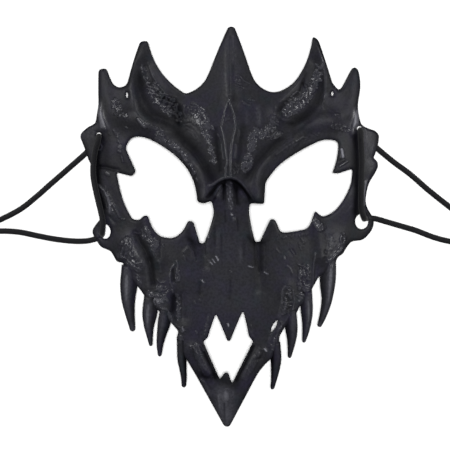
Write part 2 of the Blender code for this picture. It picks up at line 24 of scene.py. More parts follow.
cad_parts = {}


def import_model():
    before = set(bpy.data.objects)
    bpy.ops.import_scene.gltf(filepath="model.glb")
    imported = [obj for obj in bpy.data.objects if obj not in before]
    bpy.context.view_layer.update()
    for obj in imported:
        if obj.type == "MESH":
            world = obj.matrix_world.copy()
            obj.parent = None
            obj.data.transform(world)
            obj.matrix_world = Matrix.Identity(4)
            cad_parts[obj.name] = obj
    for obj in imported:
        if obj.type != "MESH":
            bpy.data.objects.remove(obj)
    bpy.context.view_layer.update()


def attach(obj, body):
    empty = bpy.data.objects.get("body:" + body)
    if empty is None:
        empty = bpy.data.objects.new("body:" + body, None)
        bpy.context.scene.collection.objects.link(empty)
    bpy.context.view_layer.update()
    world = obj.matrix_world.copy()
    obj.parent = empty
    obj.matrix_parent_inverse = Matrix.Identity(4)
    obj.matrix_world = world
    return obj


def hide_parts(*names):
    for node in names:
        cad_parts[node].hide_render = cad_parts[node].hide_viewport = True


log = logging.getLogger("skull_mask")

MM = 0.001
BODY = "root"
SEED = 41

# Driving sizes of the shell, as in the solid model
WALL = 2.8
MIDDLE_X = 0.9
FALL_AT = 80.0
CORD_DIAMETER = 3.5

# Spacing of the points round every outline, and the most steps round a corner
OUTLINE_STEP = 0.8
CORNER_STEPS = 5


class Form(Enum):
    """Cross-section of a stroke of relief."""

    SOFT = "soft"
    BAND = "band"
    CORD = "cord"


SOFT, BAND, CORD = Form


class Corner(NamedTuple):
    """A corner of an outline: its place, its rounding, and the bow of the edge to the next corner."""

    x: float
    y: float
    rounding: float
    bow: float = 0.0


class Section(NamedTuple):
    """One cross line of the face: its height on the mask, depth at the middle, fall at FALL_AT."""

    y: float
    depth: float
    fall: float


class Ridge(NamedTuple):
    """A raised (or, below zero, sunk) line on the face."""

    name: str
    height: float
    spread: float
    line: tuple


class FangStation(NamedTuple):
    """A round section along a fang."""

    x: float
    y: float
    radius: float


class Stroke(NamedTuple):
    """A line of cast relief; a width is half across, and a height below zero is a groove."""

    form: Form
    height: float
    width: float
    line: tuple


class PaintedLightLine(NamedTuple):
    """A line of painted light on the skin: painted shade, duller too, below zero, a painted highlight at 1
    and the brightest painted highlight at 2.
    """

    painted_light: float
    width: float
    line: tuple


class VeinPatch(NamedTuple):
    """A patch of short raised veins that lie along a line.

    spread is how far they lie to either side, turn their usual angle to the line in degrees.
    """

    line: tuple
    spread: float
    count: int
    length: float
    width: float
    height: float
    turn: float


class StrapHole(NamedTuple):
    """An oval hole that the elastic runs through, or an oval slit."""

    name: str
    x: float
    y: float
    radius_x: float
    radius_y: float

    def points(self) -> list[Vector]:
        """Points round the oval."""
        count = max(16, round(math.pi * (self.radius_x + self.radius_y) / OUTLINE_STEP))
        angles = [math.tau * index / count for index in range(count)]
        return [Vector((self.x + self.radius_x * math.cos(angle), self.y + self.radius_y * math.sin(angle)))
                for angle in angles]


def table(kind: type, *rows: tuple) -> tuple:
    """Give plain rows the named columns of their kind."""
    return tuple(kind(*row) for row in rows)


# Every outline as corners of x, y, rounding and, where the edge to the next one bows out, its bow
# The rim of the shell, clockwise from the left horn
RIM = table(
    Corner,
    (-79, 94.7, 2), (-74, 95.5, 2.4, -0.5), (-69.3, 84.4, 2.5, -0.9), (-61.6, 85.2, 2.5, 0.5),
    (-53.8, 111.1, 1.7, 0.3), (-49, 111.4, 1.7, -4.3), (-26.5, 79.6, 1.2, -2.3), (-12.4, 92, 4, 0.3),
    (-0.8, 120, 1.8), (2.7, 119.9, 1.8, 0.3), (13, 91, 3, -2.3), (26.5, 80.2, 3, -2.3),
    (42.8, 92.6, 3, -1.2), (49.8, 114.2, 1.4, 0.2), (53.2, 112.2, 2.2, 0.2), (61.6, 86.2, 2),
    (66, 81.2, 3.5), (73.7, 95.7, 1.8, 0.4), (77.1, 95, 2.1, 0.8), (78.2, 80.5, 3, -0.3),
    (77, 70.5, 3, -0.2), (79.2, 61.2, 2, -0.3), (87.9, 57.8, 1.5), (90, 55.2, 1.2, 0.8),
    (86.5, 41.6, 0.8), (89.4, 38.9, 2, 0.4), (88.2, 33.3, 2.5), (84, 27, 3, -0.6), (81.7, 13.5, 3, -0.2),
    (86.2, 6, 2.5, 0.3), (86.8, 0.2, 3, 0.6), (80, -8.1, 2.5), (73.2, -8.6, 2, -0.3), (68, -16.2, 1),
    (64.8, -18.2, 1), (62, -25, 1), (53.4, -30, 1.2), (49.3, -37, 1), (48.3, -44, 1), (42, -47.3, 1),
    (38.5, -55, 1), (33, -59.9, 1), (29.7, -65.6, 1.2), (29.3, -73, 1), (24.6, -79.2, 1.5, -0.6),
    (15.8, -89.5, 3), (-0.2, -119.9, 1.6), (-3.2, -119.7, 1.6), (-19.3, -90.6, 3), (-25.9, -79.4, 1.2),
    (-29.5, -75, 1), (-32, -67, 1.5), (-30.6, -62.6, 1.2), (-34.4, -58.2, 1), (-42, -51, 1),
    (-51, -41.5, 1), (-54.2, -36.9, 1), (-60, -31, 1), (-64.2, -21.5, 1), (-67.8, -21, 1.2),
    (-71.4, -14.6, 2), (-77.5, -12.2, 1.5, 0.3), (-83.3, -2.8, 2.5, 0.3), (-77.6, 5, 1.5),
    (-80, 22, 3, 0.4), (-82.8, 36, 3, 0.3), (-86.4, 44.6, 2), (-90.7, 55.4, 3), (-86, 59.7, 2),
    (-80.8, 62.2, 2), (-78.9, 74, 3, 0.2),
)

LEFT_EYE = table(
    Corner,
    (-59.2, 53.6, 3, 0.2), (-51.8, 54.1, 4, 1.5), (-28, 38.3, 5, 2.1), (-19.5, 15, 1.8), (-15.8, 13.8, 2),
    (-10.9, 15.5, 1.3), (-9.3, 9, 3, 0.5), (-15.4, -9.9, 1.2), (-17.9, -9.8, 1.2), (-21.8, 3.1, 1.4),
    (-24.9, 3.7, 1.8, 0.4), (-30, -4.8, 3, 0.5), (-37, -7.1, 4, 0.5), (-44.8, -3.6, 4, 0.3),
    (-49.1, 6.7, 1.2), (-51.6, 6.6, 1.2), (-54, 4.1, 1.5), (-58.4, 4.3, 2.5), (-62.6, 12, 4, 0.4),
    (-67.2, 28.5, 3, 0.2), (-67.8, 32.6, 1.2), (-58.6, 30.3, 1.4), (-56.3, 33.2, 1.4), (-62.8, 47.6, 2.5),
)

RIGHT_EYE = table(
    Corner,
    (56.5, 52.6, 4), (65.4, 51.6, 3.5), (64.8, 43, 3, 0.2), (61.5, 32.2, 1), (65.2, 32.1, 1),
    (73.7, 34.8, 1.2), (73.2, 27, 3, 1.1), (63, 9.2, 4, 0.3), (55.3, 5.9, 2), (51.2, 9.5, 1),
    (49.9, 6, 1.5, 0.3), (46.6, -1.4, 3), (38, -2.9, 3, 0.1), (30.5, -3.6, 2.5), (27.2, 4.2, 1.4),
    (24.4, 4.8, 1.6), (18, -9, 1.2), (15.2, -9, 1.2, 0.4), (11.4, 9.5, 3), (12, 14.2, 1.6),
    (20.6, 13.5, 1.8), (21.2, 26.5, 2.5, 0.1), (28.8, 36.5, 4, 1.1),
)

MOUTH = table(
    Corner,
    (-15.9, -68.7, 1), (-13.2, -66.4, 1.2, 0.2), (-8.3, -51.9, 1.4, 0.2), (-1.4, -68.4, 1.2),
    (0.3, -68.2, 1.2, 0.2), (7.9, -50.2, 1.4, 0.3), (11.3, -65.2, 1.2), (14, -68.6, 1), (1.3, -94, 1.4),
    (-1, -87.2, 1), (-3.1, -87.3, 1), (-6, -91.4, 1.2),
)

JAW_SLIT = table(
    Corner,
    (28.6, -55.6, 0.3, 1), (24.5, -63.3, 0.3, 1),
)

STRAP_HOLES = table(
    StrapHole,
    ("left_upper", -78.8, 55.2, 1.5, 1.6),
    ("left_lower", -74.9, -2.9, 3.2, 4.3),
    ("right_upper", 78.1, 59.0, 1.6, 1.6),
    ("right_lower", 79.4, 3.2, 4.0, 4.6),
    ("left_slit", -61.7, 79.1, 0.6, 1.7),
    ("right_slit", 61.6, 79.9, 0.7, 1.3),
)

# How the face falls back from its middle line to the temples, from the chin up
SECTIONS = table(
    Section,
    (-130.0, 27.0, 42.0),
    (-118.0, 31.0, 43.0),
    (-100.0, 39.0, 44.0),
    (-80.0, 45.5, 45.0),
    (-60.0, 49.5, 45.0),
    (-40.0, 51.5, 45.0),
    (-20.0, 52.5, 45.0),
    (-5.0, 53.0, 46.0),
    (10.0, 53.5, 43.0),
    (28.0, 54.0, 40.6),
    (45.0, 53.5, 40.2),
    (55.0, 52.6, 40.4),
    (65.0, 50.5, 38.0),
    (80.0, 46.0, 34.5),
    (100.0, 39.5, 32.0),
    (130.0, 28.0, 30.0),
)

# The main forms that stand out of the face or are sunk into it
RIDGES = table(
    Ridge,
    ("left brow", 4.6, 6.5, ((-62, 66), (-48, 60), (-35, 53), (-25, 45), (-18.5, 35), (-15.5, 25),
        (-15.5, 17))),
    ("right brow", 4.6, 6.5, ((60, 64), (45, 58), (32, 51), (23.5, 43), (17.5, 34), (16, 25),
        (16.5, 17))),
    ("left spike crest", 2.6, 4.5, ((-51.5, 110), (-57, 91), (-58, 81), (-56, 70), (-49, 62))),
    ("right spike crest", 2.6, 4.5, ((51.5, 111), (57.5, 94), (58, 79), (54, 69), (45, 62))),
    ("left scoop", -5.0, 6.0, ((-51.5, 95), (-49.5, 83), (-44, 73), (-36, 67), (-28, 64))),
    ("right scoop", -5.0, 6.0, ((52, 97), (51, 85), (46, 75), (39, 69), (31, 66))),
    ("centre crest", 3.2, 5.0, ((1.3, 121), (1.0, 90), (0.7, 74))),
    ("left horn crest", 1.2, 3.6, ((-76.5, 94), (-74.5, 80), (-71, 68))),
    ("right horn crest", 1.2, 3.6, ((75.5, 94), (74.5, 80), (71, 68))),
    ("left cheek fold", 2.6, 4.0, ((-51, 4), (-49, -8), (-43, -20))),
    ("right cheek fold", 2.6, 4.0, ((51, 6), (54, -6), (55, -18))),
    ("left cheek knob", 3.0, 7.0, ((-62, -10), (-57, -18))),
    ("right cheek knob", 3.0, 7.0, ((66, -8), (60, -18))),
    ("left notch groove", -2.2, 2.6, ((-16.6, -9), (-15.5, -24))),
    ("right notch groove", -2.2, 2.8, ((17, -9), (19.5, -38))),
    ("left jaw pit", -3.6, 4.0, ((-31, -44), (-30, -54))),
    ("right jaw band", 1.8, 3.5, ((34, -36), (33, -48), (25.5, -68))),
    ("left jaw arm", 3.0, 4.8, ((-20.5, -74), (-14, -87), (-6.5, -101))),
    ("right jaw arm", 3.0, 4.8, ((19.5, -74), (12.5, -87), (5, -101))),
    ("chin crest", 2.4, 5.0, ((-1, -99), (-1.7, -119))),
)

# The brow stands out over the nose and ends below in an arched lip
BROW_STAND = 5.0
LIP_MIDDLE = (1.2, 27.6)
LIP_DROP = 13.4
LIP_HALF_WIDTH = 11.4
LIP_SOFTNESS = 2.0
BROW_REACH_X = 24.0
BROW_FADE_Y = (34.0, 66.0)

# Fangs, from the root down to the tip
FANG_SINK = 0.55
FANG_CURL = 5.0
FANGS = {
    "left_1": ((-60.0, -23.0, 4.6), (-60.5, -35.0, 5.1), (-60.8, -44.0, 4.1), (-59.9, -52.3, 2.9),
               (-58.4, -61.2, 1.7)),
    "left_2": ((-47.0, -41.5, 4.2), (-47.9, -51.7, 4.5), (-48.4, -58.9, 3.2), (-48.0, -64.9, 2.0),
               (-47.4, -70.5, 1.1)),
    "left_3": ((-38.0, -49.5, 3.6), (-39.4, -57.7, 3.8), (-40.7, -63.7, 3.0), (-41.8, -70.3, 2.1),
               (-42.0, -76.6, 1.2)),
    "left_4": ((-28.9, -68.0, 2.8), (-28.7, -78.7, 2.8), (-28.1, -84.7, 2.2), (-27.5, -90.7, 1.7),
               (-27.5, -95.0, 1.4)),
    "right_1": ((59.7, -19.0, 4.2), (58.9, -31.9, 4.8), (58.3, -43.9, 3.2), (56.1, -52.9, 2.2),
                (54.0, -58.8, 1.4)),
    "right_2": ((45.6, -38.5, 3.7), (46.2, -49.9, 3.6), (46.2, -57.1, 2.8), (45.4, -63.7, 1.9),
                (44.5, -68.4, 1.1)),
    "right_3": ((36.1, -49.5, 3.6), (36.8, -59.5, 3.8), (37.1, -65.5, 3.1), (36.7, -71.5, 2.1),
                (35.9, -77.6, 1.1)),
    "right_4": ((27.0, -69.0, 3.0), (27.6, -78.7, 3.2), (27.3, -84.7, 2.7), (26.5, -91.3, 1.8),
                (25.6, -96.4, 1.2)),
}

# Routes of the elastic, from the knot along the lower strand, through both holes and back
CORD_ROUTES = {
    "left": (
        (-160.5, -3.6, 2.0), (-150.0, -3.7, 1.9), (-138.0, -2.6, 1.9), (-127.0, -3.2, 1.9),
        (-116.0, -5.4, 1.9), (-105.5, -7.4, 1.9), (-95.0, -8.6, 1.9), (-87.0, -8.6, 1.9),
        (-81.4, -7.5, 2.2), (-78.2, -6.0, 4.4), (-76.9, -4.4, 8.4), (-76.8, -3.8, 12.6),
        (-76.4, -1.2, 15.4), (-76.4, 3.6, 16.2), (-77.6, 9.6, 15.6), (-80.2, 20.4, 14.4),
        (-82.0, 30.0, 13.5), (-82.0, 38.6, 13.6), (-80.8, 46.0, 14.9), (-79.4, 51.0, 16.6),
        (-78.9, 53.6, 15.8), (-78.8, 54.3, 12.8), (-78.9, 54.0, 9.0), (-79.6, 52.4, 5.4),
        (-81.6, 49.6, 2.8), (-86.6, 44.4, 1.9), (-97.0, 35.2, 1.9), (-107.9, 25.7, 1.9),
        (-116.4, 18.2, 1.9), (-126.1, 10.6, 1.9), (-138.0, 4.4, 1.9), (-148.0, 0.9, 1.9),
        (-160.5, 0.3, 2.0),
    ),
    "right": (
        (166.5, -12.4, 2.0), (158.0, -12.2, 1.9), (145.0, -10.6, 1.9), (132.0, -8.7, 1.9),
        (122.5, -6.2, 1.9), (112.0, -2.2, 1.9), (103.6, 0.3, 1.9), (93.0, 3.4, 1.9),
        (87.6, 4.9, 1.9), (83.6, 5.2, 3.5), (81.3, 5.0, 8.0), (81.0, 5.0, 12.4),
        (80.2, 7.0, 15.6), (79.0, 12.0, 16.4), (79.0, 20.0, 17.3), (79.2, 30.0, 17.9),
        (79.4, 40.0, 17.9), (79.0, 49.0, 17.8), (78.7, 54.4, 18.2), (78.6, 57.3, 16.5),
        (78.6, 58.1, 13.0), (78.8, 57.6, 9.0), (79.8, 56.0, 5.4), (82.4, 53.0, 2.9),
        (88.4, 47.6, 1.9), (98.0, 39.6, 1.9), (109.0, 31.4, 1.9), (119.8, 22.0, 1.9),
        (132.0, 12.3, 1.9), (144.0, 3.0, 1.9), (156.0, -5.6, 1.9), (166.5, -8.5, 2.0),
    ),
}

# The cast relief, as form, height, half width and line
STROKES = table(
    Stroke,
    # Left spike and scoop: soft outer ridge, crease at the floor's foot, light rim of the upper facet
    (SOFT, 0.5, 2.0, ((-60, 88), (-59, 79), (-57, 71), (-53, 64.5), (-47, 59.5), (-40, 57))),
    (SOFT, -0.5, 1.5, ((-56.8, 92), (-56, 84), (-53.8, 75), (-50, 68.6), (-45, 64.8), (-38, 62.6),
        (-33, 60.4))),
    (SOFT, 0.6, 0.8, ((-49, 98), (-46.6, 91), (-42.4, 84), (-37.6, 79.6), (-32, 77.4))),
    (SOFT, -1.1, 1.1, ((-33.4, 75.6), (-29.8, 71), (-28.4, 66), (-29.6, 61.6))),
    (CORD, 0.7, 0.7, ((-52.6, 97), (-51.8, 92.4))),
    (CORD, 0.8, 0.8, ((-51.4, 90), (-50.2, 87.6))),
    (CORD, 0.7, 0.6, ((-48.6, 82.6), (-47.4, 79.6), (-46.2, 77))),
    (CORD, 0.7, 0.8, ((-43, 73.8), (-41, 71.8))),
    (CORD, 0.8, 0.9, ((-37, 69.8), (-35, 67.6))),
    # Right spike and scoop
    (SOFT, 0.9, 0.9, ((53, 108), (56, 99), (57, 90), (57.4, 80), (55.6, 71.6))),
    (SOFT, -0.6, 1.5, ((55.4, 92), (55, 82), (52.2, 73), (46, 66.6), (39, 62.6), (33, 63.4))),
    (SOFT, -0.9, 1.0, ((44.2, 88), (42.6, 81.4), (37.6, 77), (32, 73.4), (29.8, 68.6), (30.8, 64.8))),
    (SOFT, 0.5, 1.0, ((42, 92), (39.4, 84.6), (34.4, 79.4), (29.6, 75))),
    (CORD, 0.9, 0.9, ((51, 92), (52.6, 89.8), (54.4, 91.4))),
    (CORD, 0.7, 0.7, ((51.6, 97.6), (53.4, 95.6), (52.4, 93.6))),
    (CORD, 0.9, 1.0, ((45.6, 84.6), (46.6, 81.4), (45.8, 78), (46.8, 74.6))),
    (CORD, 0.7, 0.9, ((43.6, 78.6), (41.4, 75.4), (42, 72.4))),
    (CORD, 0.7, 0.8, ((40, 76.6), (37.4, 73.8), (38.2, 70.8))),
    (CORD, 0.6, 0.8, ((36, 71.4), (33.6, 68.4), (32.4, 66.6))),
    # Centre: faint seam down the spike, the lozenge and the short lines beside it
    (SOFT, -0.4, 0.6, ((0.4, 113), (0.1, 96), (0.2, 80))),
    (SOFT, 0.3, 0.9, ((-1.8, 114), (-2.2, 96), (-1.2, 79))),
    (SOFT, 0.3, 0.9, ((2.6, 114), (2.6, 96), (1.4, 79))),
    (CORD, 0.7, 0.6, ((-0.5, 76.4), (-2.4, 71), (-4.2, 64.4), (-5, 60.4), (-3.8, 56), (-2.7, 50),
        (-2.2, 44), (-1.5, 40), (-1.6, 37.4), (-2.6, 34.8), (-2.4, 31), (-3.2, 29.4))),
    (CORD, 0.7, 0.6, ((-0.5, 76.4), (0.9, 71), (2.4, 67), (3.4, 62), (2.9, 58), (1.9, 54), (1, 49),
        (0.6, 44), (0.4, 38), (0.4, 31), (1.2, 29.8))),
    (CORD, 0.6, 0.6, ((-7, 55.4), (-5.8, 52.6))),
    (CORD, 0.6, 0.6, ((-5, 49.4), (-4.4, 45), (-3.7, 40.4))),
    (CORD, 0.5, 0.7, ((5.6, 57.4), (4.6, 51))),
    (CORD, 0.6, 0.6, ((3.7, 49), (3.4, 45), (3, 41))),
    (SOFT, -0.9, 1.5, ((-7, 52), (-6.2, 42), (-5.6, 33.4))),
    (SOFT, -0.9, 1.5, ((6, 52), (5.6, 42), (3.6, 33.4))),
    (CORD, 0.5, 0.5, ((1.8, 34.4), (3.4, 33), (2.6, 31.6))),
    (CORD, 0.5, 0.5, ((3.8, 36), (5.2, 34.2), (4.8, 32))),
    # Forehead: bright dabs, two curved lines over the left brow, dashes under the right of the spike
    (CORD, 0.7, 0.8, ((-23, 73.6), (-19.8, 72.8))),
    (CORD, 0.5, 0.6, ((-22.6, 71.8), (-18.2, 71.4))),
    (CORD, 0.6, 0.8, ((-26.8, 72.4), (-27.8, 68.4), (-26.2, 65.2))),
    (CORD, 0.7, 0.7, ((-18.6, 66.4), (-17.4, 63.8))),
    (CORD, 0.7, 0.7, ((-16.6, 63), (-15.2, 60.6))),
    (CORD, 0.6, 0.6, ((-14.8, 67), (-14, 64))),
    (CORD, 0.8, 0.8, ((-12.4, 52.6), (-11.6, 50), (-11.8, 48.4))),
    (CORD, 0.8, 0.8, ((-9.6, 45), (-11, 43), (-9.6, 41.6), (-10, 39), (-9.2, 37.6))),
    (SOFT, 0.5, 0.5, ((-26.4, 60), (-22.6, 57.8), (-19.6, 54.6), (-18, 50.6))),
    (SOFT, 0.5, 0.5, ((-25.2, 57.6), (-22.4, 55.8), (-20, 52.6))),
    (SOFT, 0.5, 0.5, ((-27.4, 61.4), (-24, 62), (-20.6, 59.2), (-17.6, 55))),
    (CORD, 0.5, 0.5, ((6.4, 90), (8, 88.6))),
    (CORD, 0.5, 0.5, ((8, 87.8), (10.8, 86))),
    (CORD, 0.5, 0.5, ((3.8, 89), (5, 87.6))),
    (CORD, 0.4, 0.5, ((5, 84.4), (8, 83.2))),
    (CORD, 0.5, 0.7, ((8.6, 73.6), (11.4, 73))),
    (SOFT, 0.4, 1.0, ((16.8, 70), (17.4, 62))),
    (SOFT, 0.5, 0.8, ((27.2, 71), (26.8, 63))),
    (CORD, 0.8, 0.7, ((21, 56.4), (23.4, 58.8), (27.4, 60))),
    (CORD, 0.7, 0.6, ((22.4, 53.6), (25.4, 54.6), (28.4, 57.4))),
    (CORD, 0.8, 0.6, ((27.6, 52.4), (30.4, 54.8))),
    # Brow bands: smooth, with a step down to the trough at their upper edge
    (BAND, 0.9, 3.3, ((-35, 50), (-28.4, 45.4), (-22.8, 39.6), (-18.2, 32), (-15.8, 24), (-15.6, 18.6))),
    (SOFT, -0.9, 1.7, ((-27, 49.4), (-21.6, 44.8), (-16.6, 38), (-13, 31.6), (-11.4, 27))),
    (BAND, 0.9, 3.6, ((38, 50.6), (30, 45.4), (23, 39.6), (17.6, 33), (15.4, 26), (16, 19))),
    (SOFT, -1.0, 1.9, ((35, 54.6), (27, 49.4), (19.4, 42.4), (13.2, 34), (11, 29))),
    (CORD, 0.8, 0.8, ((-44.4, 54.6), (-42.4, 55.8), (-40.4, 54.4))),
    (CORD, 0.9, 0.9, ((-29.2, 44.2), (-28.6, 41.8))),
    (CORD, 0.8, 0.8, ((-27.8, 40.4), (-26.2, 38.8))),
    (CORD, 0.8, 0.7, ((-23.4, 35.8), (-22.2, 33.6))),
    (CORD, 0.6, 0.6, ((-20.4, 28.8), (-19.8, 27.2))),
    (CORD, 0.8, 1.0, ((-55.4, 64.6), (-52.4, 60.8), (-50.6, 59.4))),
    (SOFT, 0.4, 0.6, ((44, 53.6), (36, 49), (28, 43))),
    # Lip over the nose, the dark line under it, and the hollow's facets and flutes
    (CORD, 0.8, 1.0, ((-12.4, 24.4), (-9.2, 25.6), (-6.4, 27.6), (-3, 29.2), (0.4, 29.4), (3.4, 28.6),
        (6.4, 26.4), (9.4, 23), (11.8, 19), (13.6, 16))),
    (SOFT, -1.4, 0.9, ((-13.4, 17.4), (-11.4, 20), (-9, 23.2), (-6.2, 25.8), (-3, 27.2), (0.4, 27.4),
        (3.6, 26.4), (6.2, 24.4), (9, 21.2), (11.8, 17.4), (14, 14.6))),
    (SOFT, 1.0, 1.4, ((-7.6, 18.6), (-6, 22), (-4.9, 24.4))),
    (SOFT, -1.1, 0.8, ((-3.3, 25.4), (-3.2, 15.4))),
    (SOFT, -1.1, 1.0, ((3.4, 25), (3.4, 13.6))),
    (SOFT, 0.5, 1.4, ((7.4, 21), (8.6, 17.4))),
    (CORD, 0.6, 0.6, ((-0.2, 24.4), (0.6, 22.8))),
    (CORD, 0.6, 0.6, ((-1.8, 22.2), (-1.6, 20.6))),
    (CORD, 0.5, 0.6, ((0.2, 19.4), (0.4, 17.4))),
    # Nose and shield: faint flutes, single beads, dashes, and the lines below both notches
    (SOFT, -0.4, 0.8, ((-2.6, 9), (-2.4, 1.6))),
    (SOFT, -0.4, 0.7, ((4, 7.6), (4.8, -3))),
    (SOFT, -0.4, 0.8, ((-8.6, -2), (-8.2, -12))),
    (SOFT, -0.3, 0.8, ((-4.6, -3), (-4.6, -13))),
    (SOFT, 0.3, 1.0, ((6.2, -14), (6.8, -20))),
    (SOFT, -0.3, 0.9, ((0.6, -34), (-1.8, -44), (-2.2, -54))),
    (CORD, 0.7, 0.7, ((1, 7.7), (1.4, 7))),
    (CORD, 0.5, 0.6, ((2.4, 5.4), (2.8, 4.4))),
    (CORD, 0.7, 0.6, ((-8.1, -17.8), (-7, -20))),
    (CORD, 0.6, 0.6, ((-10.2, -19.6), (-8.8, -21.6))),
    (CORD, 0.5, 0.5, ((-11, -21.6), (-10.6, -22.2))),
    (CORD, 0.5, 0.6, ((0.6, -26.2), (0.8, -27.2))),
    (CORD, 0.6, 0.6, ((11.6, -23.6), (13.6, -24.2))),
    (CORD, 0.8, 0.8, ((-16.4, -32.4), (-15.2, -33.2))),
    (CORD, 0.7, 0.7, ((-13.6, -5.2), (-12.8, -6.6))),
    (CORD, 0.5, 0.6, ((-18, -43.4), (-17.6, -44.4))),
    (CORD, 0.5, 0.6, ((-20.9, -44.6), (-20.6, -45.8))),
    (CORD, 0.8, 0.7, ((-1.2, -58.2), (-0.9, -59.4))),
    (SOFT, -0.9, 0.9, ((-23.4, -11), (-21.4, -13.6), (-20.2, -20))),
    (SOFT, -0.7, 0.7, ((-15.2, -11.4), (-15, -16.4))),
    (SOFT, -0.6, 1.4, ((-17.6, -34), (-18, -40))),
    (SOFT, -0.9, 0.9, ((16.2, -9.4), (17, -15), (17.4, -22), (18.2, -26))),
    (SOFT, -0.9, 0.9, ((21.2, -11.6), (21.6, -18), (21.6, -25))),
    (CORD, 0.7, 0.7, ((20.6, -27.3), (22.4, -28.3))),
    (SOFT, 0.5, 0.9, ((-8.4, -53.4), (-4.8, -60), (-2.6, -65.6))),
    (SOFT, 0.4, 0.8, ((5, -57), (2, -62.4))),
    (SOFT, 0.5, 0.8, ((-12.4, -54), (-13.4, -59), (-14.4, -64.4))),
    (SOFT, 0.4, 0.5, ((-28.3, -41), (-28.3, -56))),
    # Left cheek: the dark diagonal groove, knob with wrinkles, second roll, ring, pit and arc
    (SOFT, -1.7, 1.8, ((-56.6, -4.4), (-54.4, -9), (-50.6, -14), (-48, -19.4))),
    (SOFT, -1.5, 1.3, ((-48, -19.4), (-46.8, -26), (-45.8, -34))),
    (SOFT, 1.1, 3.0, ((-58.6, -9), (-56, -15.6), (-53, -22))),
    (SOFT, 0.8, 1.9, ((-51.4, -21), (-50, -28), (-49, -36))),
    (CORD, 0.8, 0.8, ((-62, -6.2), (-60.2, -7), (-59.2, -11), (-60, -13.6))),
    (CORD, 0.7, 0.6, ((-65.6, -18.4), (-64.8, -13), (-62.6, -9.6))),
    (CORD, 0.7, 0.6, ((-63.4, -18.6), (-62.6, -13.6), (-61.2, -10.4))),
    (CORD, 0.7, 0.7, ((-60.4, -16), (-58.6, -18.2), (-57.4, -17.4))),
    (CORD, 0.7, 0.7, ((-61.6, -20.4), (-57.6, -24), (-53.4, -25.8))),
    (CORD, 0.7, 0.6, ((-63, -21.8), (-60, -23), (-56, -26.4))),
    (CORD, 0.5, 0.5, ((-59, -20.6), (-56, -22.4), (-52.6, -21.4))),
    (CORD, 0.5, 0.5, ((-57, -3.6), (-55, -4.2), (-52.6, -3.6))),
    (CORD, 0.9, 0.8, ((-51, -1.8), (-49.6, -3.8), (-48.8, -5.4))),
    (CORD, 0.9, 0.8, ((-47.4, -5.8), (-46.6, -8), (-45, -10.2))),
    (CORD, 0.8, 0.8, ((-52.8, -5.6), (-52, -7.2))),
    (CORD, 0.5, 1.1, ((-50, -8.2), (-47.6, -9.4))),
    (SOFT, -0.6, 0.45, ((-41, -5.6), (-41.8, -12), (-41.4, -18.4))),
    (CORD, 0.6, 0.6, ((-40.2, -10.4), (-39.6, -11.8))),
    (CORD, 0.6, 0.7, ((-33.2, -22.6), (-35.2, -26), (-35.9, -30), (-35.6, -34), (-34.4, -36))),
    (CORD, 0.7, 0.7, ((-31.8, -20.6), (-31.2, -24), (-32, -27.4), (-30.4, -29))),
    (CORD, 0.8, 0.8, ((-32.8, -30.6), (-31.4, -31.8))),
    (SOFT, -0.9, 0.9, ((-33.8, -25.4), (-34, -32.6))),
    (SOFT, 0.6, 0.9, ((-27.4, -15), (-25, -12.4), (-22.6, -14.4), (-21.6, -19))),
    (CORD, 0.5, 0.6, ((-27.2, -17.4), (-26.6, -20))),
    (SOFT, 0.6, 0.9, ((-42, -21), (-41.6, -27))),
    (CORD, 0.5, 0.6, ((-43.4, -31.6), (-41.4, -33.6), (-38.6, -33))),
    (CORD, 0.9, 0.8, ((-48.6, -41.6), (-47.8, -42.4))),
    (CORD, 0.8, 0.7, ((-46.8, -40.4), (-44, -41.4), (-41, -41.4), (-38.6, -40.4), (-36.8, -38.4))),
    (CORD, 1.0, 0.9, ((-43.8, -45), (-43, -45.6))),
    (CORD, 0.6, 0.7, ((-34.4, -38), (-34, -39.2))),
    (SOFT, -2.0, 1.7, ((-33.6, -42), (-33.4, -46), (-34, -50))),
    (SOFT, -0.8, 1.0, ((-32.6, -52), (-31.4, -57))),
    (CORD, 0.8, 0.7, ((-41, -49), (-38, -49.4), (-35.8, -52), (-34.7, -55.6), (-35.2, -58))),
    (CORD, 0.5, 0.5, ((-39.6, -50.6), (-37.4, -52), (-36.2, -55.4))),
    (CORD, 0.8, 0.8, ((-28.6, -59.8), (-27.4, -62))),
    (CORD, 0.5, 0.7, ((-20, -62.6), (-19.6, -63.8))),
    # Right cheek: crisp upright line, outlined ramus band, wrinkles and the bumpy outer knob
    (CORD, 0.7, 0.5, ((51.2, -15.6), (50.4, -22), (50, -29), (50, -35))),
    (SOFT, -0.7, 0.9, ((53, -20), (51.8, -27), (51.6, -32))),
    (CORD, 0.6, 0.6, ((31, -46), (31.4, -38.4), (33, -35.8), (36, -35.8), (38.2, -38.4), (38.8, -44),
        (37.6, -50))),
    (SOFT, 0.6, 0.8, ((31, -46), (29.8, -52), (28.6, -59), (24.4, -64.6), (23.6, -69), (25, -74),
        (24, -78))),
    (SOFT, 0.7, 0.8, ((38, -50), (34.6, -54.4), (32, -59.4), (28.8, -62.6))),
    (CORD, 0.6, 0.6, ((34.6, -36.8), (35.8, -38.2), (37, -36.8), (35.8, -35.8), (34.6, -36.8))),
    (CORD, 0.7, 0.7, ((33.6, -46.4), (33.2, -49.6))),
    (SOFT, -0.8, 0.8, ((34.6, -42), (36.6, -46))),
    (CORD, 0.5, 0.8, ((32.4, -18), (32.8, -19.2))),
    (CORD, 0.25, 0.6, ((27.4, -13), (29.6, -15.4))),
    (CORD, 0.3, 0.7, ((34, -23.4), (36, -24.6), (37.2, -27.6))),
    (SOFT, -0.5, 0.5, ((35.6, -14), (37.6, -17))),
    (SOFT, -0.5, 0.5, ((37.4, -13.6), (39, -16.2))),
    (CORD, 0.7, 0.9, ((41.8, -28.4), (41.6, -31))),
    (CORD, 0.7, 0.7, ((41, -22.4), (43.4, -23.4), (44.6, -22.6))),
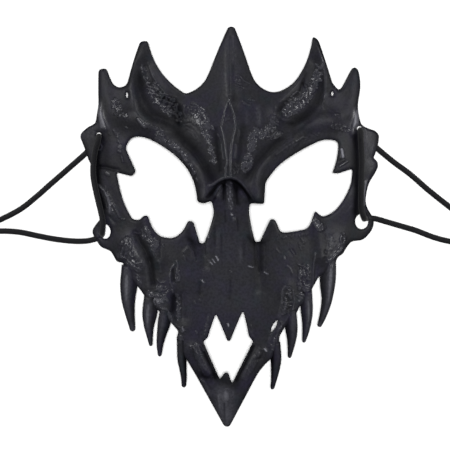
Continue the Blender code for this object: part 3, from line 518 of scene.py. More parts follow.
    (CORD, 0.6, 0.6, ((46, -24.6), (47.2, -26), (46, -27.4), (47.6, -30))),
    (SOFT, -1.0, 1.0, ((44.8, -31), (46.4, -33.4))),
    (SOFT, -1.0, 0.9, ((43.8, -37), (44.2, -38.8))),
    (CORD, 0.8, 0.8, ((42.2, -37.4), (43, -35.8))),
    (CORD, 0.7, 0.7, ((41.8, -40.4), (44.4, -41.2))),
    (CORD, 0.9, 0.9, ((51.2, 5.2), (51.6, 4))),
    (CORD, 0.9, 0.7, ((53.4, 3.4), (54.4, 0.6), (53, -0.8))),
    (CORD, 0.9, 0.7, ((55.4, 1.6), (56.4, -1.4))),
    (CORD, 0.8, 0.7, ((51.8, -0.4), (53, -2), (55.4, -2.2))),
    (CORD, 0.8, 1.0, ((67.2, -4.6), (66.8, -8.6), (68.4, -12.6), (65.6, -16), (62.4, -19))),
    (CORD, 0.7, 0.8, ((69.6, -6), (68.8, -10))),
    (SOFT, -1.1, 0.9, ((57.4, -14.6), (57.6, -15.6))),
    (SOFT, -1.1, 1.0, ((57.2, -19), (57.8, -20.4))),
    (SOFT, 0.6, 1.6, ((61, -6), (60.4, -13))),
    # Jaw arms, oblong and centre line of the chin
    (BAND, 0.9, 2.6, ((-20.4, -72.6), (-18.6, -78), (-15, -86), (-10.6, -94))),
    (BAND, 0.9, 2.6, ((17.6, -74.6), (13.6, -82), (9, -90))),
    (CORD, 0.6, 0.8, ((-23.6, -71.4), (-20.6, -69.8), (-17.4, -71), (-15.6, -74))),
    (CORD, 0.6, 0.9, ((-21.4, -72.6), (-20.4, -74.2))),
    (CORD, 0.6, 0.8, ((-20.2, -75.2), (-19, -76.8))),
    (SOFT, 0.5, 0.7, ((-16.4, -82.6), (-14.6, -86))),
    (CORD, 0.7, 0.8, ((-17.4, -91.6), (-15.4, -92.8))),
    (SOFT, 0.6, 1.2, ((-14.6, -94), (-12.4, -99.6))),
    (SOFT, -0.9, 1.1, ((-17.4, -90), (-13, -90.8), (-9.4, -88.6))),
    (CORD, 0.9, 0.8, ((21.1, -73.2), (21.9, -74.2))),
    (SOFT, 0.9, 1.3, ((16.8, -75.6), (16.8, -77.2))),
    (SOFT, -0.9, 1.0, ((19.2, -74.8), (19, -78.2), (16, -79.6))),
    (CORD, 0.4, 0.6, ((10.8, -85), (12, -87.4), (10.6, -88.6))),
    (CORD, 0.6, 0.7, ((28.6, -63), (28.2, -66), (28.4, -69.4))),
    (SOFT, -0.5, 0.9, ((15, -71), (13.6, -75))),
    (BAND, 0.4, 1.9, ((-1.6, -98.4), (-1.8, -102.6))),
    (SOFT, -0.8, 0.5, ((-3.4, -106), (-3.4, -112), (-3, -117))),
    (SOFT, 0.4, 0.9, ((-7, -101), (-6.4, -108))),
    (SOFT, 0.3, 0.8, ((2, -99), (1.4, -108))),
    # Temples: the light edge facets, creases, streaks and the curls under the upper holes
    (SOFT, 1.3, 1.6, ((-79, 74), (-77.6, 66), (-75, 59))),
    (SOFT, 1.3, 1.8, ((77, 68), (75.4, 62), (74, 56))),
    (CORD, 0.6, 0.6, ((-79.4, 49.4), (-77.8, 49.8), (-76.8, 48), (-78, 46.2), (-79.6, 47))),
    (SOFT, -1.3, 1.0, ((-78, 36), (-74, 35.6), (-70, 34.4), (-67, 34))),
    (CORD, 0.6, 1.4, ((-74.2, 32.4), (-73, 31.4))),
    (CORD, 0.5, 1.1, ((-66.8, 45.6), (-65.6, 45))),
    (CORD, 0.6, 0.7, ((-65, 42.6), (-64.2, 39))),
    (CORD, 0.8, 1.0, ((-79, 25), (-76, 22), (-74, 18.4))),
    (CORD, 0.7, 1.1, ((-73.4, 18), (-72.2, 13), (-72.6, 8))),
    (CORD, 0.5, 0.7, ((-70.4, 13.4), (-68, 9), (-66.4, 5.6))),
    (SOFT, -0.9, 1.1, ((-73, 7), (-71, 4.6), (-69.4, 3))),
    (CORD, 0.6, 0.5, ((-64.8, 4.5), (-63.2, 4.6))),
    (CORD, 0.5, 0.6, ((-62.4, 59.6), (-61.6, 59))),
    (CORD, 0.9, 1.0, ((67.4, 46.4), (68.2, 41.8))),
    (CORD, 0.6, 0.8, ((70.6, 39.4), (68, 37.6), (66, 36.4))),
    (SOFT, -0.9, 1.1, ((64.6, 38.6), (68.4, 40.4))),
    (CORD, 0.6, 0.7, ((63.6, 67.6), (65.6, 67.4))),
    (SOFT, 0.7, 1.0, ((83.4, 27.6), (81.4, 20), (80.6, 13))),
    (SOFT, -0.6, 0.9, ((81, 58), (80.6, 50), (81, 40))),
    # Short bright strokes of the forehead
    (CORD, 0.5, 0.7, ((3.4, 87.4), (5.6, 88.2))),
    (CORD, 0.5, 0.7, ((7.4, 88.8), (9.6, 87), (11.6, 86))),
    (CORD, 0.4, 0.6, ((3.8, 84.4), (6.6, 84), (8.2, 83))),
    (CORD, 0.4, 0.5, ((5, 91), (6.2, 89.8))),
    (CORD, 0.5, 0.8, ((8, 74.8), (10, 73.8), (11.2, 72.6))),
    (CORD, 0.4, 0.5, ((11.4, 76), (14.4, 75.4))),
    (CORD, 0.6, 1.0, ((-22.6, 74), (-20.6, 73.4), (-19.4, 72.8))),
    # Beside the root of the left side's third fang
    (CORD, 0.5, 0.6, ((-42.4, -50.4), (-39.6, -49.6), (-37.2, -51.6), (-35.8, -55), (-34.4, -57.8))),
)

# Painted light and shade on the skin, as painted light, half width and line: painted shade below zero,
# painted highlights above it
PAINTED_LIGHT_LINES = table(
    PaintedLightLine,
    # Painted highlight on the bridge of the nose under the brow, and painted shade on the arch round it
    (1.7, 1.5, ((-5.6, 23), (-7.4, 19))),
    (0.6, 1.7, ((-0.4, 26), (0, 12))),
    (0.45, 1.8, ((7, 20.6), (9, 18))),
    (-0.7, 1.0, ((-3.6, 27), (-3.4, 22), (-3.6, 17))),
    (-0.7, 1.3, ((3.4, 26), (3.8, 20), (4.8, 14))),
    (-0.7, 1.5, ((-13.6, 17.4), (-10, 21.6), (-6.6, 26), (0, 28.6), (5.6, 26), (10, 21), (14, 17))),
    # Darker and lighter streaks, and painted glints, down the shield
    (-0.4, 0.8, ((-2.8, 9), (-2.6, 3))),
    (-0.35, 0.8, ((-9, 0), (-9, -11))),
    (-0.35, 0.8, ((-5, -5), (-5, -16))),
    (-0.45, 0.8, ((4.6, 4), (4.8, -2))),
    (-0.35, 0.8, ((8.4, -8), (8.4, -17))),
    (0.3, 1.1, ((-7, -2), (-7, -14))),
    (0.3, 0.9, ((6.6, -13), (6.4, -21))),
    (1.3, 0.6, ((0.9, 7.4), (1.3, 7.1))),
    (0.8, 0.6, ((2, 5.4), (2.4, 4))),
    (1.1, 0.5, ((-8.2, -17.6), (-7, -20.2))),
    (1.0, 0.5, ((-10, -19.6), (-9, -21.2))),
    (1.2, 0.55, ((-12, -20.8), (-10.4, -22.4))),
    (1.0, 0.5, ((11, -23.4), (13.6, -24.2))),
    (1.3, 0.7, ((-13.4, -4.6), (-14.2, -6.6))),
    (0.8, 0.5, ((20.6, -26.8), (22.4, -28))),
    (1.0, 0.6, ((-16.6, -32), (-16, -33.4))),
    (1.2, 0.55, ((-0.9, -58), (-0.7, -59.4))),
    (1.4, 0.7, ((21, -73), (22.2, -74.4))),
    (1.0, 0.6, ((-28.4, -61), (-28, -62.4))),
    # Painted shade along the inner edges of the jaw
    (-1.0, 1.3, ((-16.8, -71.4), (-12.8, -80.4), (-8.2, -89.4))),
    (-1.0, 1.3, ((13.8, -71.4), (9, -82), (4.2, -91.4))),
    # Painted shade in the hollows of the crown and brows, with a painted highlight down the right spike's
    # edge
    (-0.7, 3.4, ((-38, 77), (-33.6, 72), (-31, 64))),
    (-0.6, 1.2, ((45.6, 92), (44, 86), (47, 82))),
    (-0.6, 3.6, ((-54, 90), (-52, 79), (-46.6, 70), (-38, 65))),
    (-0.5, 2.4, ((-47, 86), (-42, 80), (-38, 76))),
    (-0.5, 2.2, ((-34, 76), (-30.4, 69.6), (-31, 63))),
    (-0.6, 2.8, ((54.4, 86), (52, 75), (45.4, 67.4), (37.4, 62.6))),
    (0.6, 0.9, ((55.4, 102), (57.2, 91), (57, 78))),
    (-0.5, 1.2, ((43.4, 86), (41, 80), (35, 76), (30.6, 71))),
    (-0.8, 3.8, ((-31, 55.4), (-25, 51), (-19.6, 44.6), (-14.6, 37), (-10.8, 29))),
    (-0.3, 3.0, ((47, 62), (38, 57))),
    (-0.65, 3.6, ((30, 52.6), (22, 45.4), (16, 38.6), (11.4, 31))),
    (-0.6, 2.4, ((-8.8, 58), (-7.4, 46), (-5.8, 34))),
    (-0.5, 2.4, ((8, 60), (6.8, 52), (5.4, 42), (3.4, 34))),
    (-0.5, 1.2, ((2, 97), (2, 84), (2.4, 76))),
    (-0.7, 2.8, ((-9.4, 19), (-4, 24), (1, 25.6), (6, 22.6), (11, 17))),
    # Painted shade in the hollows of the cheeks, nose and jaw
    (-0.4, 2.0, ((-25.4, -2), (-22.6, -9), (-20.6, -16))),
    (-0.5, 1.8, ((18.6, -10), (18.8, -17), (18.6, -25))),
    (-0.5, 0.7, ((14.4, -8), (14.8, -14), (15.4, -23))),
    (-0.5, 1.5, ((10.8, -6), (14.6, -9.8), (20, -9))),
    (-0.5, 1.6, ((-25, -7), (-20, -10.4), (-15, -8.6))),
    (-0.35, 0.8, ((0.4, -31), (0, -43))),
    (-0.35, 2.6, ((44, -24), (44.4, -36))),
    (-0.3, 2.0, ((25, 0), (22.6, -8))),
    (-0.6, 2.0, ((-56, -5), (-51, -14), (-47, -21), (-45.6, -34))),
    (-0.8, 1.9, ((-33.4, -42), (-33.8, -50))),
    (-0.5, 1.0, ((-34, -26), (-33.8, -32))),
    (-0.4, 1.6, ((-17.4, -34), (-18, -40))),
    (-0.75, 3.4, ((-16, -88.4), (-10, -91), (-4, -92), (3, -94.6))),
    (-0.3, 2.0, ((36, -43), (35.4, -52))),
    # Painted shadows beside the elastic down both temples, and painted shade in the left temple's creases
    (-0.5, 1.0, ((-79.8, 52), (-80.4, 38), (-79, 24), (-76.4, 12), (-74.6, 3))),
    (-0.9, 2.4, ((75.4, 58), (75.4, 40), (76.0, 22), (75.4, 9))),
    (-0.4, 3.0, ((-77, 36), (-70, 35.4))),
    (-0.6, 3.4, ((-75, 54), (-74.5, 40))),
    (-0.4, 3.0, ((-66, 44), (-61, 36))),
    (-0.8, 2.0, ((-79, 54), (-79.4, 40), (-78, 26), (-75.6, 12))),
    # Painted highlights on facets, with a few lines of painted shade among them
    (1.5, 1.3, ((-79.4, 76), (-78.4, 69))),
    (1.6, 2.2, ((-78, 67), (-76.6, 60.6))),
    (0.5, 3.4, ((-84.6, 57), (-82.6, 60))),
    (1.9, 2.2, ((77, 69), (76.2, 64), (75.4, 59))),
    (1.6, 0.8, ((82, 27), (80.9, 20), (80.9, 13))),
    (0.5, 1.6, ((73.6, 22), (72.6, 13))),
    (0.1, 1.8, ((51, 4), (54.4, -0.6))),
    (0.25, 3.4, ((-61, -7), (-58, -14), (-53.4, -21))),
    (0.5, 2.2, ((-73.6, 19), (-71, 12), (-69.6, 6))),
    (0.7, 1.5, ((-80.8, -1), (-79.6, -5))),
    (0.3, 2.4, ((-48, -44.6), (-40, -46.6))),
    (0.2, 3.4, ((66, -5), (63, -12), (58, -17))),
    (-0.4, 2.2, ((13, -6), (15, -20), (16.6, -36))),
    (1.7, 1.0, ((67.2, 46.4), (68, 41.8))),
    (0.4, 1.2, ((-54.6, 63.6), (-51.4, 60))),
    (1.1, 7.0, ((-4, -101), (-2.4, -114))),
    (0.2, 8.0, ((0, 112), (0, 84))),
    (0.25, 11.0, ((0, -12), (-7, -44), (9, -44), (0, -12))),
    (0.9, 1.4, ((79.8, 61.4), (83, 59.6))),
    (0.45, 3.2, ((84, 56), (86, 46), (85, 36))),
    (-0.7, 0.5, ((-3.4, -106), (-3.2, -116.4))),
    (0.6, 1.0, ((-16.6, -92), (-12.8, -100))),
    (0.2, 2.2, ((-34, 51), (-27, 45.4), (-21, 38), (-17, 27), (-15.8, 19))),
    (0.35, 2.0, ((56, 54.6), (42, 50.4), (34, 45), (26, 38), (20.6, 31.6))),
    (-0.4, 1.3, ((16.6, 19), (17, 28), (20, 35), (26, 41.4), (33, 47.6), (40, 53))),
    (-0.35, 1.3, ((-16.4, 19), (-16.8, 28), (-19.6, 34))),
    (0.5, 1.3, ((17.2, 71.6), (17.2, 62))),
    (0.4, 1.0, ((10.2, 68), (10.2, 62))),
    (0.35, 1.0, ((-78.4, 25), (-75, 20), (-72.8, 14), (-72.4, 8))),
)

# Beads and veins, as line, spread, count, length, half width, height and turn
VEIN_PATCHES = table(
    VeinPatch,
    # Beads and short veins of both scoops
    (((-52.4, 97), (-49.8, 87), (-46, 79)), 1.5, 34, 1.0, 0.62, 0.5, 30),
    (((-46.5, 86), (-41, 78.5), (-34, 74)), 2.4, 62, 0.8, 0.7, 0.7, 30),
    (((-45, 76), (-38, 71), (-33, 66.5)), 2.2, 40, 0.9, 0.72, 0.7, 40),
    (((-33, 73), (-30.5, 67), (-31, 62.5)), 1.7, 34, 0.9, 0.6, 0.6, 20),
    (((52, 98), (52.6, 90), (50, 84)), 2.4, 48, 1.5, 0.66, 0.7, -50),
    (((48.6, 84), (46, 77), (40, 72.6), (33, 67.6)), 2.6, 96, 1.7, 0.7, 0.7, -70),
    (((43.4, 82), (37, 76.4), (32.4, 71)), 1.5, 34, 1.1, 0.6, 0.5, -30),
    # Forehead
    (((-25, 71), (-23, 63), (-21, 60)), 2.2, 34, 1.6, 0.55, 0.35, 10),
    (((-19.4, 70), (-16, 64), (-12.4, 57)), 3.4, 130, 1.2, 0.62, 0.6, 25),
    (((-15.4, 57), (-12.4, 52), (-11, 46), (-9.8, 38)), 1.6, 60, 1.0, 0.72, 0.8, 40),
    (((27.4, 66), (26.4, 61), (22, 56.6), (17, 54)), 1.9, 60, 1.7, 0.6, 0.55, 40),
    (((17, 58), (13.4, 52), (12.2, 45), (10.4, 38), (8.6, 32)), 2.4, 80, 0.6, 0.9, 0.8, 30),
    (((30.6, 56.4), (27, 53.6), (24.4, 52.6)), 1.1, 22, 1.4, 0.55, 0.5, 0),
    (((4, 89), (8, 84), (13, 75)), 2.2, 20, 1.6, 0.5, 0.25, 60),
    (((-3.4, 68), (-1.4, 62), (0.4, 68)), 1.3, 20, 0.8, 0.5, 0.35, 0),
    (((3.4, 38), (2.6, 31)), 1.4, 16, 1.3, 0.5, 0.4, 60),
    (((-0.6, 26), (0.4, 18), (0.4, 10)), 1.6, 26, 0.8, 0.6, 0.5, 20),
    # Rough strips between the brow bands and the eyes
    (((-44, 54), (-38.6, 50), (-32.6, 45.6), (-27.6, 40.4)), 2.7, 120, 0.9, 0.85, 1.0, 35),
    (((-28, 42), (-24, 36.6), (-21, 30)), 1.0, 26, 1.0, 0.8, 0.9, 40),
    (((54, 55.4), (44, 52.4), (34, 46)), 1.0, 44, 1.0, 0.5, 0.25, -35),
    (((-52, 62), (-46, 58.4), (-40, 56.4)), 1.7, 36, 1.2, 0.55, 0.4, 40),
    # Temples over the eyes
    (((-69.6, 77), (-68, 71), (-66, 66)), 2.4, 26, 0.7, 0.7, 0.8, 45),
    (((-64, 68), (-61.6, 66)), 1.4, 8, 0.7, 0.6, 0.5, 45),
    (((60, 61), (66, 59.6), (72, 58)), 1.7, 34, 0.9, 0.6, 0.45, -45),
    (((-71, 57), (-67, 52), (-64.6, 46)), 2.0, 20, 1.2, 0.55, 0.35, 15),
    # Cheeks below the eyes
    (((-52, -1.4), (-48.6, -6), (-44, -11.6)), 2.2, 64, 1.2, 0.76, 0.9, 40),
    (((-46.6, -13), (-44, -17)), 1.8, 18, 1.0, 0.55, 0.35, 20),
    (((-64.4, -8), (-61, -13), (-60, -20)), 2.2, 40, 1.7, 0.6, 0.5, 80),
    (((-60.6, -21.4), (-54, -25.4)), 2.2, 34, 2.4, 0.55, 0.5, -10),
    (((-67, -16), (-65.4, -19)), 1.2, 12, 1.3, 0.6, 0.6, 60),
    (((50.6, 4.6), (53.6, 1), (56.4, -2.4)), 1.9, 50, 1.2, 0.66, 0.7, 35),
    (((46.4, -3.6), (38, -5), (27.6, -5.4)), 1.5, 46, 0.9, 0.55, 0.3, 60),
    (((44, -8.6), (40.6, -12)), 1.8, 10, 1.6, 0.45, 0.3, 20),
    (((45.4, -23), (44.4, -30), (44.4, -38)), 3.0, 52, 1.4, 0.62, 0.55, 20),
    (((68.6, -4), (67.4, -11), (62.4, -18)), 1.8, 34, 1.3, 0.7, 0.5, 35),
    (((59, -5), (60.4, -12)), 3.4, 22, 1.2, 0.6, 0.2, 10),
    (((-31.4, -26), (-31, -33)), 1.3, 24, 0.9, 0.58, 0.5, 20),
    # Gums over the fangs, and the columns of beads by the pit and in the ramus band
    (((-50, -41), (-44, -43.6), (-38, -42)), 2.6, 90, 1.0, 0.66, 0.6, 80),
    (((-44, -36.6), (-37.6, -37.6)), 1.5, 26, 0.9, 0.6, 0.45, 60),
    (((-46, -46.6), (-40.6, -47.6)), 1.2, 22, 0.9, 0.62, 0.45, 60),
    (((-54.8, -29), (-54.4, -36)), 0.9, 14, 0.8, 0.6, 0.6, 20),
    (((-31.6, -40), (-30.6, -48), (-30.8, -56)), 0.9, 36, 0.8, 0.6, 0.6, 20),
    (((-30.4, -60), (-29.4, -68)), 1.5, 24, 1.2, 0.6, 0.45, 70),
    (((64.6, -17), (59, -21.6)), 1.2, 26, 1.2, 0.66, 0.6, 75),
    (((48.6, -36), (44, -40.6), (40, -44)), 1.6, 40, 1.1, 0.62, 0.5, 80),
    (((35.4, -38), (34.6, -46), (33, -53)), 2.2, 60, 0.9, 0.6, 0.45, 80),
    (((31.4, -57), (28, -66), (26, -74)), 1.7, 48, 1.2, 0.62, 0.5, 70),
    (((-22, -71), (-18, -80), (-16, -88)), 2.4, 50, 1.0, 0.62, 0.35, 20),
    (((19, -73), (12, -86)), 2.2, 24, 1.4, 0.6, 0.3, 20),
    (((-4.8, -58), (-2.4, -65)), 0.8, 10, 0.9, 0.5, 0.35, 20),
    (((11.6, -58), (13, -66)), 0.9, 14, 0.9, 0.55, 0.4, 20),
    (((-13.2, -58), (-15, -66)), 0.9, 12, 0.9, 0.55, 0.35, 20),
    (((-77, 23), (-73, 15), (-71, 8)), 2.4, 36, 3.0, 0.5, 0.35, 0),
)


def linear(code: str) -> tuple[float, float, float, float]:
    """Turn an sRGB hex code into Blender's linear colour.

    Args:
        code: Colour such as "#1c1d20".

    Returns:
        Red, green, blue and an alpha of 1.
    """
    def channel(part: str) -> float:
        """Linear value of two hex digits."""
        value = int(part, 16) / 255.0
        return value / 12.92 if value <= 0.04045 else ((value + 0.055) / 1.055)**2.4

    return channel(code[1:3]), channel(code[3:5]), channel(code[5:7]), 1.0


def smooth_step(low: float, high: float, value: np.ndarray) -> np.ndarray:
    """Rise smoothly from 0 at low to 1 at high."""
    t = np.clip((value - low) / (high - low), 0.0, 1.0)
    return t * t * (3.0 - 2.0 * t)


def smooth_through(values: np.ndarray, places: np.ndarray, where: np.ndarray) -> np.ndarray:
    """Read a smooth curve through rows of values at rising places.

    Args:
        values: Values at the places.
        places: Rising places.
        where: Places at which the curve is read.

    Returns:
        The curve's values there.
    """
    slopes = np.gradient(values, places)
    index = np.clip(np.searchsorted(places, where) - 1, 0, len(places) - 2)
    span = places[index + 1] - places[index]
    t = np.clip((where - places[index]) / span, 0.0, 1.0)
    start = values[index] * (2 * t**3 - 3 * t**2 + 1) + slopes[index] * span * (t**3 - 2 * t**2 + t)
    end = values[index + 1] * (3 * t**2 - 2 * t**3) + slopes[index + 1] * span * (t**3 - t**2)
    return start + end


def distance_to_line(x: np.ndarray, y: np.ndarray, line: Sequence) -> np.ndarray:
    """Distance of points from a line of straight pieces.

    Args:
        x, y: Places across and up the mask.
        line: Corners of the line, as pairs of x and y.

    Returns:
        Distances in millimetres.
    """
    nearest = np.full(np.shape(x), np.inf)
    for (ax, ay), (bx, by) in zip(line, line[1:]):
        run_x, run_y = bx - ax, by - ay
        t = np.clip(((x - ax) * run_x + (y - ay) * run_y) / (run_x**2 + run_y**2), 0.0, 1.0)
        nearest = np.minimum(nearest, np.hypot(x - ax - t * run_x, y - ay - t * run_y))
    return nearest


def curve_through(route: Sequence, step: float) -> list[Vector]:
    """Points about one step apart on a smooth curve through a route.

    Args:
        route: Places that the curve runs through.
        step: Spacing of the points.

    Returns:
        The points, with both ends.
    """
    knots = [Vector(place) for place in route]
    points = [knots[0]]
    for index in range(len(knots) - 1):
        before = knots[max(index - 1, 0)]
        start, end = knots[index], knots[index + 1]
        after = knots[min(index + 2, len(knots) - 1)]
        count = max(1, round((end - start).length / step))
        for number in range(1, count + 1):
            t = number / count
            points.append(0.5 * (2.0 * start + (end - before) * t
                                 + (2.0 * before - 5.0 * start + 4.0 * end - after) * t**2
                                 + (3.0 * start - before - 3.0 * end + after) * t**3))
    return points


def bell(value: float, middle: float, width: float) -> float:
    """A smooth bump of 1 at its middle that fades over its width."""
    return math.exp(-((value - middle) / width)**2)


def link(thing: bpy.types.Object) -> bpy.types.Object:
    """Put an object into the scene."""
    bpy.context.scene.collection.objects.link(thing)
    return thing


def feed(tree: bpy.types.NodeTree, node: bpy.types.Node, links: dict) -> None:
    """Set or link inputs of a node by name or number.

    Args:
        tree: The node's tree.
        node: The node.
        links: Values or sockets for its inputs.
    """
    for key, value in links.items():
        if isinstance(value, bpy.types.NodeSocket):
            tree.links.new(value, node.inputs[key])
        else:
            node.inputs[key].default_value = value


def add_node(tree: bpy.types.NodeTree, kind: str, links: dict | None = None,
             **settings: object) -> bpy.types.Node:
    """Add a node with its settings and links.

    Args:
        tree: The tree that it joins.
        kind: Blender's name for the node.
        links: Values or sockets for its inputs, by name or number.
        **settings: Settings of the node itself.

    Returns:
        The node.
    """
    node = tree.nodes.new(kind)
    for key, value in settings.items():
        setattr(node, key, value)
    feed(tree, node, links or {})
    return node


@dataclass(frozen=True)
class Outline:
    """A closed outline of rounded corners and bowed edges.

    Attributes:
        corners: Rows in order round the outline.
        most_cut: The most of an edge's length that one rounding takes.
        corner_density: Steps round a corner for each OUTLINE_STEP of the straight way across it.
    """

    corners: Sequence[Corner]
    most_cut: float = 0.45
    corner_density: float = 1.4

    def _edge(self, start: Corner, end: Corner) -> list[Vector]:
        """Points along one edge, short of both roundings.

        Args:
            start: Corner that the edge leaves.
            end: Corner that it runs to.

        Returns:
            Points in order.
        """
        run = Vector((end.x - start.x, end.y - start.y))
        length = run.length
        outward = Vector((-run.y, run.x)) / length
        first = min(self.most_cut, start.rounding / length)
        last = 1.0 - min(self.most_cut, end.rounding / length)
        count = max(1, round(length * (last - first) / OUTLINE_STEP))
        points = []
        for index in range(count + 1):
            t = first + (last - first) * index / count
            bow = outward * (start.bow * 4.0 * t * (1.0 - t))
            points.append(Vector((start.x, start.y)) + run * t + bow)
        return points

    def points(self) -> list[Vector]:
        """All points round the outline, with its corners rounded."""
        edges = [self._edge(corner, self.corners[(index + 1) % len(self.corners)])
                 for index, corner in enumerate(self.corners)]
        points = []
        for index, corner in enumerate(self.corners):
            before, after = edges[index - 1][-1], edges[index][0]
            peak = Vector((corner.x, corner.y))
            wanted = round((after - before).length / OUTLINE_STEP * self.corner_density)
            steps = max(2, min(CORNER_STEPS, wanted))
            for step in range(1, steps):
                t = step / steps
                points.append(before * (1 - t)**2 + peak * 2 * t * (1 - t) + after * t**2)
            points.extend(edges[index])
        return points


@dataclass
class Veins:
    """All the short raised veins of the casting, as worm-shaped bumps.

    Attributes:
        turn_spread, bend_spread: How much their angles vary in degrees, and their bends in radians.
        lengths, widths, heights: Ranges of their sizes, as shares of their patch's.
        pieces: Straight pieces in one vein.
    """

    patches: Sequence[VeinPatch]
    generator: np.random.Generator
    turn_spread: float = 24.0
    bend_spread: float = 0.45
    lengths: tuple = (0.45, 1.35)
    widths: tuple = (0.75, 1.25)
    heights: tuple = (0.7, 1.15)
    pieces: int = 3

    def __post_init__(self) -> None:
        """Scatter the veins."""
        self.worms = [self._worm(patch) for patch in self.patches for _ in range(patch.count)]

    def _worm(self, patch: VeinPatch) -> tuple[list, float, float]:
        """One vein: its bent line, its half width and its height.

        Args:
            patch: Row of its patch.

        Returns:
            The line's points, the half width and the height.
        """
        chance = self.generator
        line = [Vector(place) for place in patch.line]
        lengths = [(b - a).length for a, b in zip(line, line[1:])]
        along = chance.uniform(0.0, sum(lengths))
        index = 0
        while index < len(lengths) - 1 and along > lengths[index]:
            along -= lengths[index]
            index += 1
        run = (line[index + 1] - line[index]).normalized()
        side = Vector((-run.y, run.x))
        middle = line[index] + run * along + side * (patch.spread * chance.uniform(-1.0, 1.0))
        angle = math.atan2(run.y, run.x) + math.radians(patch.turn + chance.normal(0.0, self.turn_spread))
        length = patch.length * chance.uniform(*self.lengths)
        bend = chance.normal(0.0, self.bend_spread)
        points, place = [], middle - Vector((math.cos(angle), math.sin(angle))) * (length / 2.0)
        for number in range(self.pieces + 1):
            points.append((place.x, place.y))
            heading = angle + bend * (number - 1.0)
            place = place + Vector((math.cos(heading), math.sin(heading))) * (length / self.pieces)
        width = patch.width * chance.uniform(*self.widths)
        return points, width, patch.height * chance.uniform(*self.heights)

    def height(self, x: np.ndarray, y: np.ndarray) -> np.ndarray:
        """Height of the veins at points.

        Args:
            x, y: Places across and up the mask.

        Returns:
            Heights in millimetres.
        """
        total = np.zeros(np.shape(x))
        for points, width, height in self.worms:
            xs, ys = zip(*points)
            near = np.nonzero((x > min(xs) - width) & (x < max(xs) + width)
                              & (y > min(ys) - width) & (y < max(ys) + width))[0]
            if len(near) == 0:
                continue
            share = np.clip(1.0 - (distance_to_line(x[near], y[near], points) / width)**2, 0.0, 1.0)
            total[near] = np.maximum(total[near], height * np.sqrt(share))
        return total

    def near(self, x: np.ndarray, y: np.ndarray, margin: float) -> np.ndarray:
        """Whether points lie on or close to a vein.

        Args:
            x, y: Places across and up the mask.
            margin: How far from its edge still counts.

        Returns:
            A truth value for each point.
        """
        close = np.zeros(np.shape(x), dtype=bool)
        for points, width, _ in self.worms:
            middle_x = (points[0][0] + points[-1][0]) / 2.0
            middle_y = (points[0][1] + points[-1][1]) / 2.0
            reach = width + margin + math.dist(points[0], points[-1]) / 2.0
            close |= (x - middle_x)**2 + (y - middle_y)**2 < reach**2
        return close


